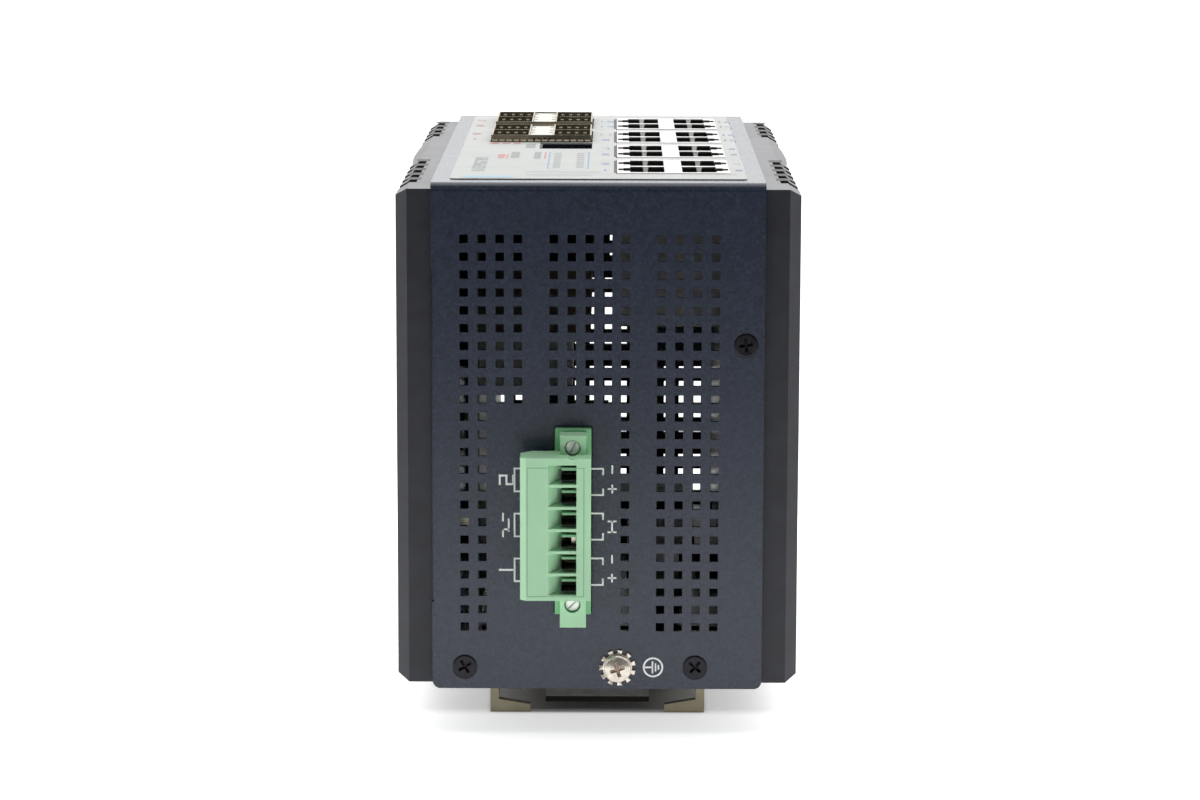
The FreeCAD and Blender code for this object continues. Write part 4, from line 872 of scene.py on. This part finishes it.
JACK_ROWS = [extent(f"jack_shield_{block}")[1] for block in range(1, 5)]
JACK_PORT_HALF = 6.99
BAY_HALF = 7.03
WIRE_COUNT, WIRE_PITCH, WIRE_WIDTH, WIRE_THICK = 8, 1.02, 0.45, 0.3
TAB_CENTRES = (10.7, 22.95)
CONTACT_WALLS = ((14.6, -1), (18.9, 1))


def port_centres():
    """Depth of each row of ports, from the near edge."""
    return [sum(row) / 2 + side * JACK_PORT_HALF for row in JACK_ROWS for side in (-1, 1)]


def wire_depths(centre):
    middle = (WIRE_COUNT - 1) / 2
    return [centre + (wire - middle) * WIRE_PITCH for wire in range(WIRE_COUNT)]


def make_jack_details():
    """Contact wires, their combs and the shield tabs of the sixteen jacks."""
    wires, tabs, combs = Build(), Build(), Build()
    top = extent("jack_shield_1")[2][1]
    across = Vector((0, WIRE_WIDTH * MM, 0))
    for centre in port_centres():
        for inner, way in CONTACT_WALLS:
            for depth in wire_depths(centre):
                points = [
                    at(inner + way * reach, depth, top - drop)
                    for reach, drop in ((0.25, 2.2), (0.55, 3.0), (3.6, 11.5), (3.3, 13.2))
                ]
                wires.ribbon(points, across, WIRE_THICK * MM, Vector((way, 0, 0)))
            combs.box(
                tuple(sorted((inner + way * 0.05, inner + way * 1.3))),
                (centre - 5.6, centre + 5.6), (top - 2.4, top - 1.5),
            )
        for x in TAB_CENTRES:
            for side in (-1, 1):
                wall = centre + side * 5.9
                corners = []
                for push in (0.0, 0.18):
                    loop = []
                    for half, drop, lean in ((0.65, 0.02, -0.02), (0.45, 1.2, 0.8)):
                        spot = wall - side * (lean + push)
                        loop += [at(x - half, spot, top - drop), at(x + half, spot, top - drop)]
                    corners += [loop[0], loop[1], loop[3], loop[2]]
                tabs.hexahedron(corners)
    wires.piece("jack_contacts", looks["gold"], "contact_metal")
    tabs.piece("jack_shield_tabs", looks["tab_tin"], "jack_metal")
    combs.piece("jack_contact_combs", looks["jack_plastic"], "jack_plastic")


def add_bay_fingers(build, bay, centre, top):
    """Four spring fingers on each long wall of one module bay."""
    (low_x, high_x) = bay
    for side in (-1, 1):
        wall = centre + side * 6.82
        for finger in range(4):
            x = low_x + (finger + 0.62) * (high_x - low_x) / 4.25
            points = [
                at(x, wall - side * inset, top - drop)
                for inset, drop in ((0.0, 0.55), (0.3, 0.8), (0.45, 1.5), (0.1, 4.6))
            ]
            build.ribbon(points, Vector((0.8 * MM, 0, 0)), 0.12 * MM, Vector((0, -side, 0)))


def make_cage_details():
    """Spring fingers in the bays, in a darker nickel as painted shade; near-black patches of
    painted shade for the slots of the cages' sides and the holes of the strips; ticks in the same
    darker nickel.
    """
    fingers, slots, marks = Build(), Build(), Build()
    bay_wall, bay_reach = 0.35, 9.15
    for number in (1, 2):
        ((left, right), (near, far), (_, top)) = extent(f"module_cage_{number}")
        middle = (near + far) / 2
        bays = ((left + bay_wall, left + bay_reach), (right - bay_reach, right - bay_wall))
        for bay in bays:
            for row in (-1, 1):
                add_bay_fingers(fingers, bay, middle + row * BAY_HALF, top)
        for face, way in ((near, -1), (far, 1)):
            skin = tuple(sorted((face, face + way * 0.03)))
            for index in range(4):
                x = -16.2 + index * 1.32
                slots.box((x - 0.27, x + 0.27), skin, (top - 1.45, top - 0.75))
            for index in range(4):
                x = -9.6 + index * 1.7
                marks.box((x - 0.45, x + 0.45), skin, (top - 1.7, top - 1.55))
        ((strip_left, strip_right), _, (_, strip_top)) = extent(f"cage_strip_{number}")
        level = (strip_top, strip_top + 0.04)
        for row in (-1, 1):
            for offset in (-4.6, 3.2):
                depth = middle + row * BAY_HALF + offset
                for x in (strip_left + 0.55, strip_right - 0.55):
                    slots.box((x - 0.4, x + 0.4), (depth - 0.45, depth + 0.45), level)
    fingers.piece("cage_fingers", looks["cage_spring_shade"], "cage_metal")
    # Painted shade: near-black patches for the slots and the strip holes.
    slots.piece("cage_slot_shade", looks["painted_shade_black"], "cage_metal")
    marks.piece("cage_ticks", looks["cage_spring_shade"], "cage_metal")


RIM_GAP, RIM_SPREAD = 0.3, 1.1
GASKET_FINGERS, GASKET_FINGER_WIDTH, GASKET_END = 14, 1.3, 0.9


def make_cage_rims():
    """Film-coloured rims in place of the gaskets, and the gaskets' fingers against the cages."""
    for number in (1, 2):
        (outer_x, outer_depth, (base, _)) = extent(f"cage_gasket_{number}")
        ((left, right), (near, far), _) = extent(f"module_cage_{number}")
        frame_rim, teeth = Build(), Build()
        level = (base, FILM_TOP + 0.01)
        outer_x = (outer_x[0] - RIM_SPREAD, outer_x[1] + RIM_SPREAD)
        outer_depth = (outer_depth[0] - RIM_SPREAD, outer_depth[1] + RIM_SPREAD)
        gap_near, gap_far = near - RIM_GAP, far + RIM_GAP
        for depths in ((outer_depth[0], gap_near), (gap_far, outer_depth[1])):
            frame_rim.box(outer_x, depths, level)
        for span in ((outer_x[0], left - RIM_GAP), (right + RIM_GAP, outer_x[1])):
            frame_rim.box(span, (gap_near, gap_far), level)
        rim = frame_rim.piece(f"cage_film_rim_{number}", looks["film"], "film")
        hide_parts(f"cage_gasket_{number}")
        pitch = (right - left - 2 * GASKET_END) / (GASKET_FINGERS - 1)
        for finger in range(GASKET_FINGERS):
            x = left + GASKET_END + finger * pitch
            for edge, way in ((near, -1), (far, 1)):
                points = [
                    at(x, edge + way * reach, FILM_TOP + rise)
                    for reach, rise in ((0.02, 0.62), (0.32, 0.35), (0.28, 0.0))
                ]
                across = Vector((GASKET_FINGER_WIDTH * MM, 0, 0))
                teeth.ribbon(points, across, 0.1 * MM, Vector((0, way, 0)))
        teeth.piece(f"gasket_fingers_{number}", looks["cage_metal"], "cage_metal")


def make_console_details():
    """Contact wires, key and lugs of the console socket, and near-black sheets of painted shade for
    the gap round it.
    """
    ((left, right), (near, far), (_, top)) = extent("console_jack")
    wires, key, lugs = Build(), Build(), Build()
    across = Vector((0, WIRE_WIDTH * MM, 0))
    for depth in wire_depths((near + far) / 2):
        points = [at(x, depth, top - drop) for x, drop in ((-10.3, 2.2), (-9.9, 3.0), (-6.6, 11.5))]
        wires.ribbon(points, across, WIRE_THICK * MM, Vector((1, 0, 0)))
    wires.piece("console_contacts", looks["gold"], "contact_metal")
    key.box((-8.7, -6.7), (far - 3.2, far - 1.5), (top - 2.6, top - 0.7))
    key.piece("console_white_key", looks["cage_strip_plastic"], "cage_strip_plastic", bevel=0.08)
    lugs.box((-13.4, -10.9), (far - 3.0, far - 1.5), (top - 2.6, top - 0.75))
    lugs.box((-6.4, -2.6), (far - 2.6, far - 1.5), (top - 2.6, top - 1.3))
    lugs.piece("console_lugs", looks["pad_lilac"], "jack_metal")
    # Painted shade: near-black sheets on the film where the gap round the socket lies in shadow.
    gaps = [
        bar(left - 0.05, far - 1.4, right + 0.05, far + 0.2),
        bar(left - 0.05, near + 3.0, left + 0.6, far),
    ]
    film_sheet("console_gap_shade", gaps, "painted_shade_black")


# ----------------------------------------------------------------- film and heat sinks

FIN_GROUPS = ((15.5, 5), (124.5, 4))
FIN_PITCH, FIN_GAP = 10.2, 5.4
FIN_INNER, FIN_OUTER = 40.3, 43.5


def make_fin_tops():
    """Painted shade: dark matt plates on the tops of the fins, darker and duller than the top of
    the heat sinks.
    """
    plates = []
    for start, gaps in FIN_GROUPS:
        for fin in range(gaps + 1):
            low = start + FIN_GAP + (fin - 1) * FIN_PITCH if fin else start - 0.2
            high = start + fin * FIN_PITCH
            plates.append(bar(-FIN_OUTER, low, -FIN_INNER, high))
            plates.append(bar(FIN_INNER, low, FIN_OUTER, high))
    (_, _, (_, top)) = extent("heat_sink_left")
    sheet = flat_sheet("fin_top_shade_plates", plates, at(0, 0, top + 0.02), "top")
    finish_piece(sheet, looks["fin_shade"])


def film_sheet(name, shapes, look):
    sheet = flat_sheet(name, shapes, at(0, 0, FILM_TOP + PRINT_LIFT), "top")
    finish_piece(sheet, looks[look])


def make_film_frames():
    """Film between the jack blocks, and near-black sheets of painted shade for the gap at their
    left.
    """
    ((left, right), _, _) = extent("jack_shield_1")
    margin = 1.2
    edges = [value for row in JACK_ROWS for value in row]
    edges = [edges[0] - margin] + edges + [edges[-1] + margin]
    shapes = [bar(left, low, right, high) for low, high in zip(edges[::2], edges[1::2])]
    shapes.append(bar(right, edges[0], right + 1.3, edges[-1]))
    film_sheet("film_jack_frame", shapes, "film")
    # Painted shade: near-black sheets where the gap beside each jack block lies in shadow.
    gaps = [bar(left - 0.75, low + 1.5, left - 0.02, high - 1.5) for low, high in JACK_ROWS]
    film_sheet("jack_side_gap_shade", gaps, "painted_shade_black")


def make_film_print():
    """Plain marks of the film: port figures, window brackets, rules and colour bands."""
    (_, (start, end), _) = extent("light_guides")
    blue, red, pale = [], [], []
    for row, centre in enumerate(port_centres()):
        blue += figures(str(2 * row + 1), 1.45, centre - 0.2, 2.6, stretch=1.3)
        blue += figures(str(2 * row + 2), 31.9, centre - 0.2, 2.3, width=0.17)
    for x, way in ((-11.75, 1), (-2.5, -1)):
        tip = x + way * 0.6
        far, near = end + 0.6, start - 0.8
        blue += stroke([(tip, far), (x, far), (x, near), (tip, near)], 0.32)
    for x in (-9.8, -4.4):
        for step in range(8):
            depth = start + 2.2 + step * 4.5
            pale.append(bar(x - 0.85, depth - 1.35, x + 0.85, depth + 1.35))
    for depth, low, high in ((20.7, -16.4, 0.1), (14.2, -16.2, -1.6)):
        pale.append(bar(low, depth - 0.5, high, depth + 0.5))
    pale += figures("0123456789", -27.5, 38.0, 2.3, turned=True, width=0.3, stretch=1.6)
    grey = [
        bar(-20.9, 52.0, -18.9, 66.0), bar(-15.4, 50.0, -13.8, 66.0), bar(-17.9, 76.0, -15.6, 86.0),
    ]
    red += [
        bar(-13.0, 50.0, -12.6, 66.0), bar(-23.9, 51.0, -22.3, 60.5), bar(-21.9, 50.0, -21.5, 61.0),
    ]
    for low, high in ((-27.0, -24.6), (-23.8, -22.0), (-21.0, -19.4)):
        red.append(bar(low, 85.6, high, 88.4))
    for bay, depth in enumerate((97.9, 111.9, 133.9, 147.9), start=1):
        red += figures(str(bay), -31.0, depth, 3.0)
    film_sheet("film_blue_marks", blue, "blue_ink")
    film_sheet("film_red_marks", red, "red_ink")
    film_sheet("film_grey_marks", grey, "grey_ink")
    film_sheet("film_pale_marks", pale, "pale_grey_ink")
    film_sheet("film_colour_band", [bar(-30.6, 8.6, -19.2, 12.4)], "pale_blue_ink")


looks = make_materials()
make_camera()
make_stage()
dress_nodes(looks)
make_panel_print()
make_case_screws()
make_ground_washer()
make_ground_screw()
make_flange_screws()
make_plug_engraving()
make_wire_slots()
make_wire_clamps()
make_jack_details()
make_cage_details()
make_cage_rims()
make_console_details()
make_film_frames()
make_film_print()
make_fin_tops()
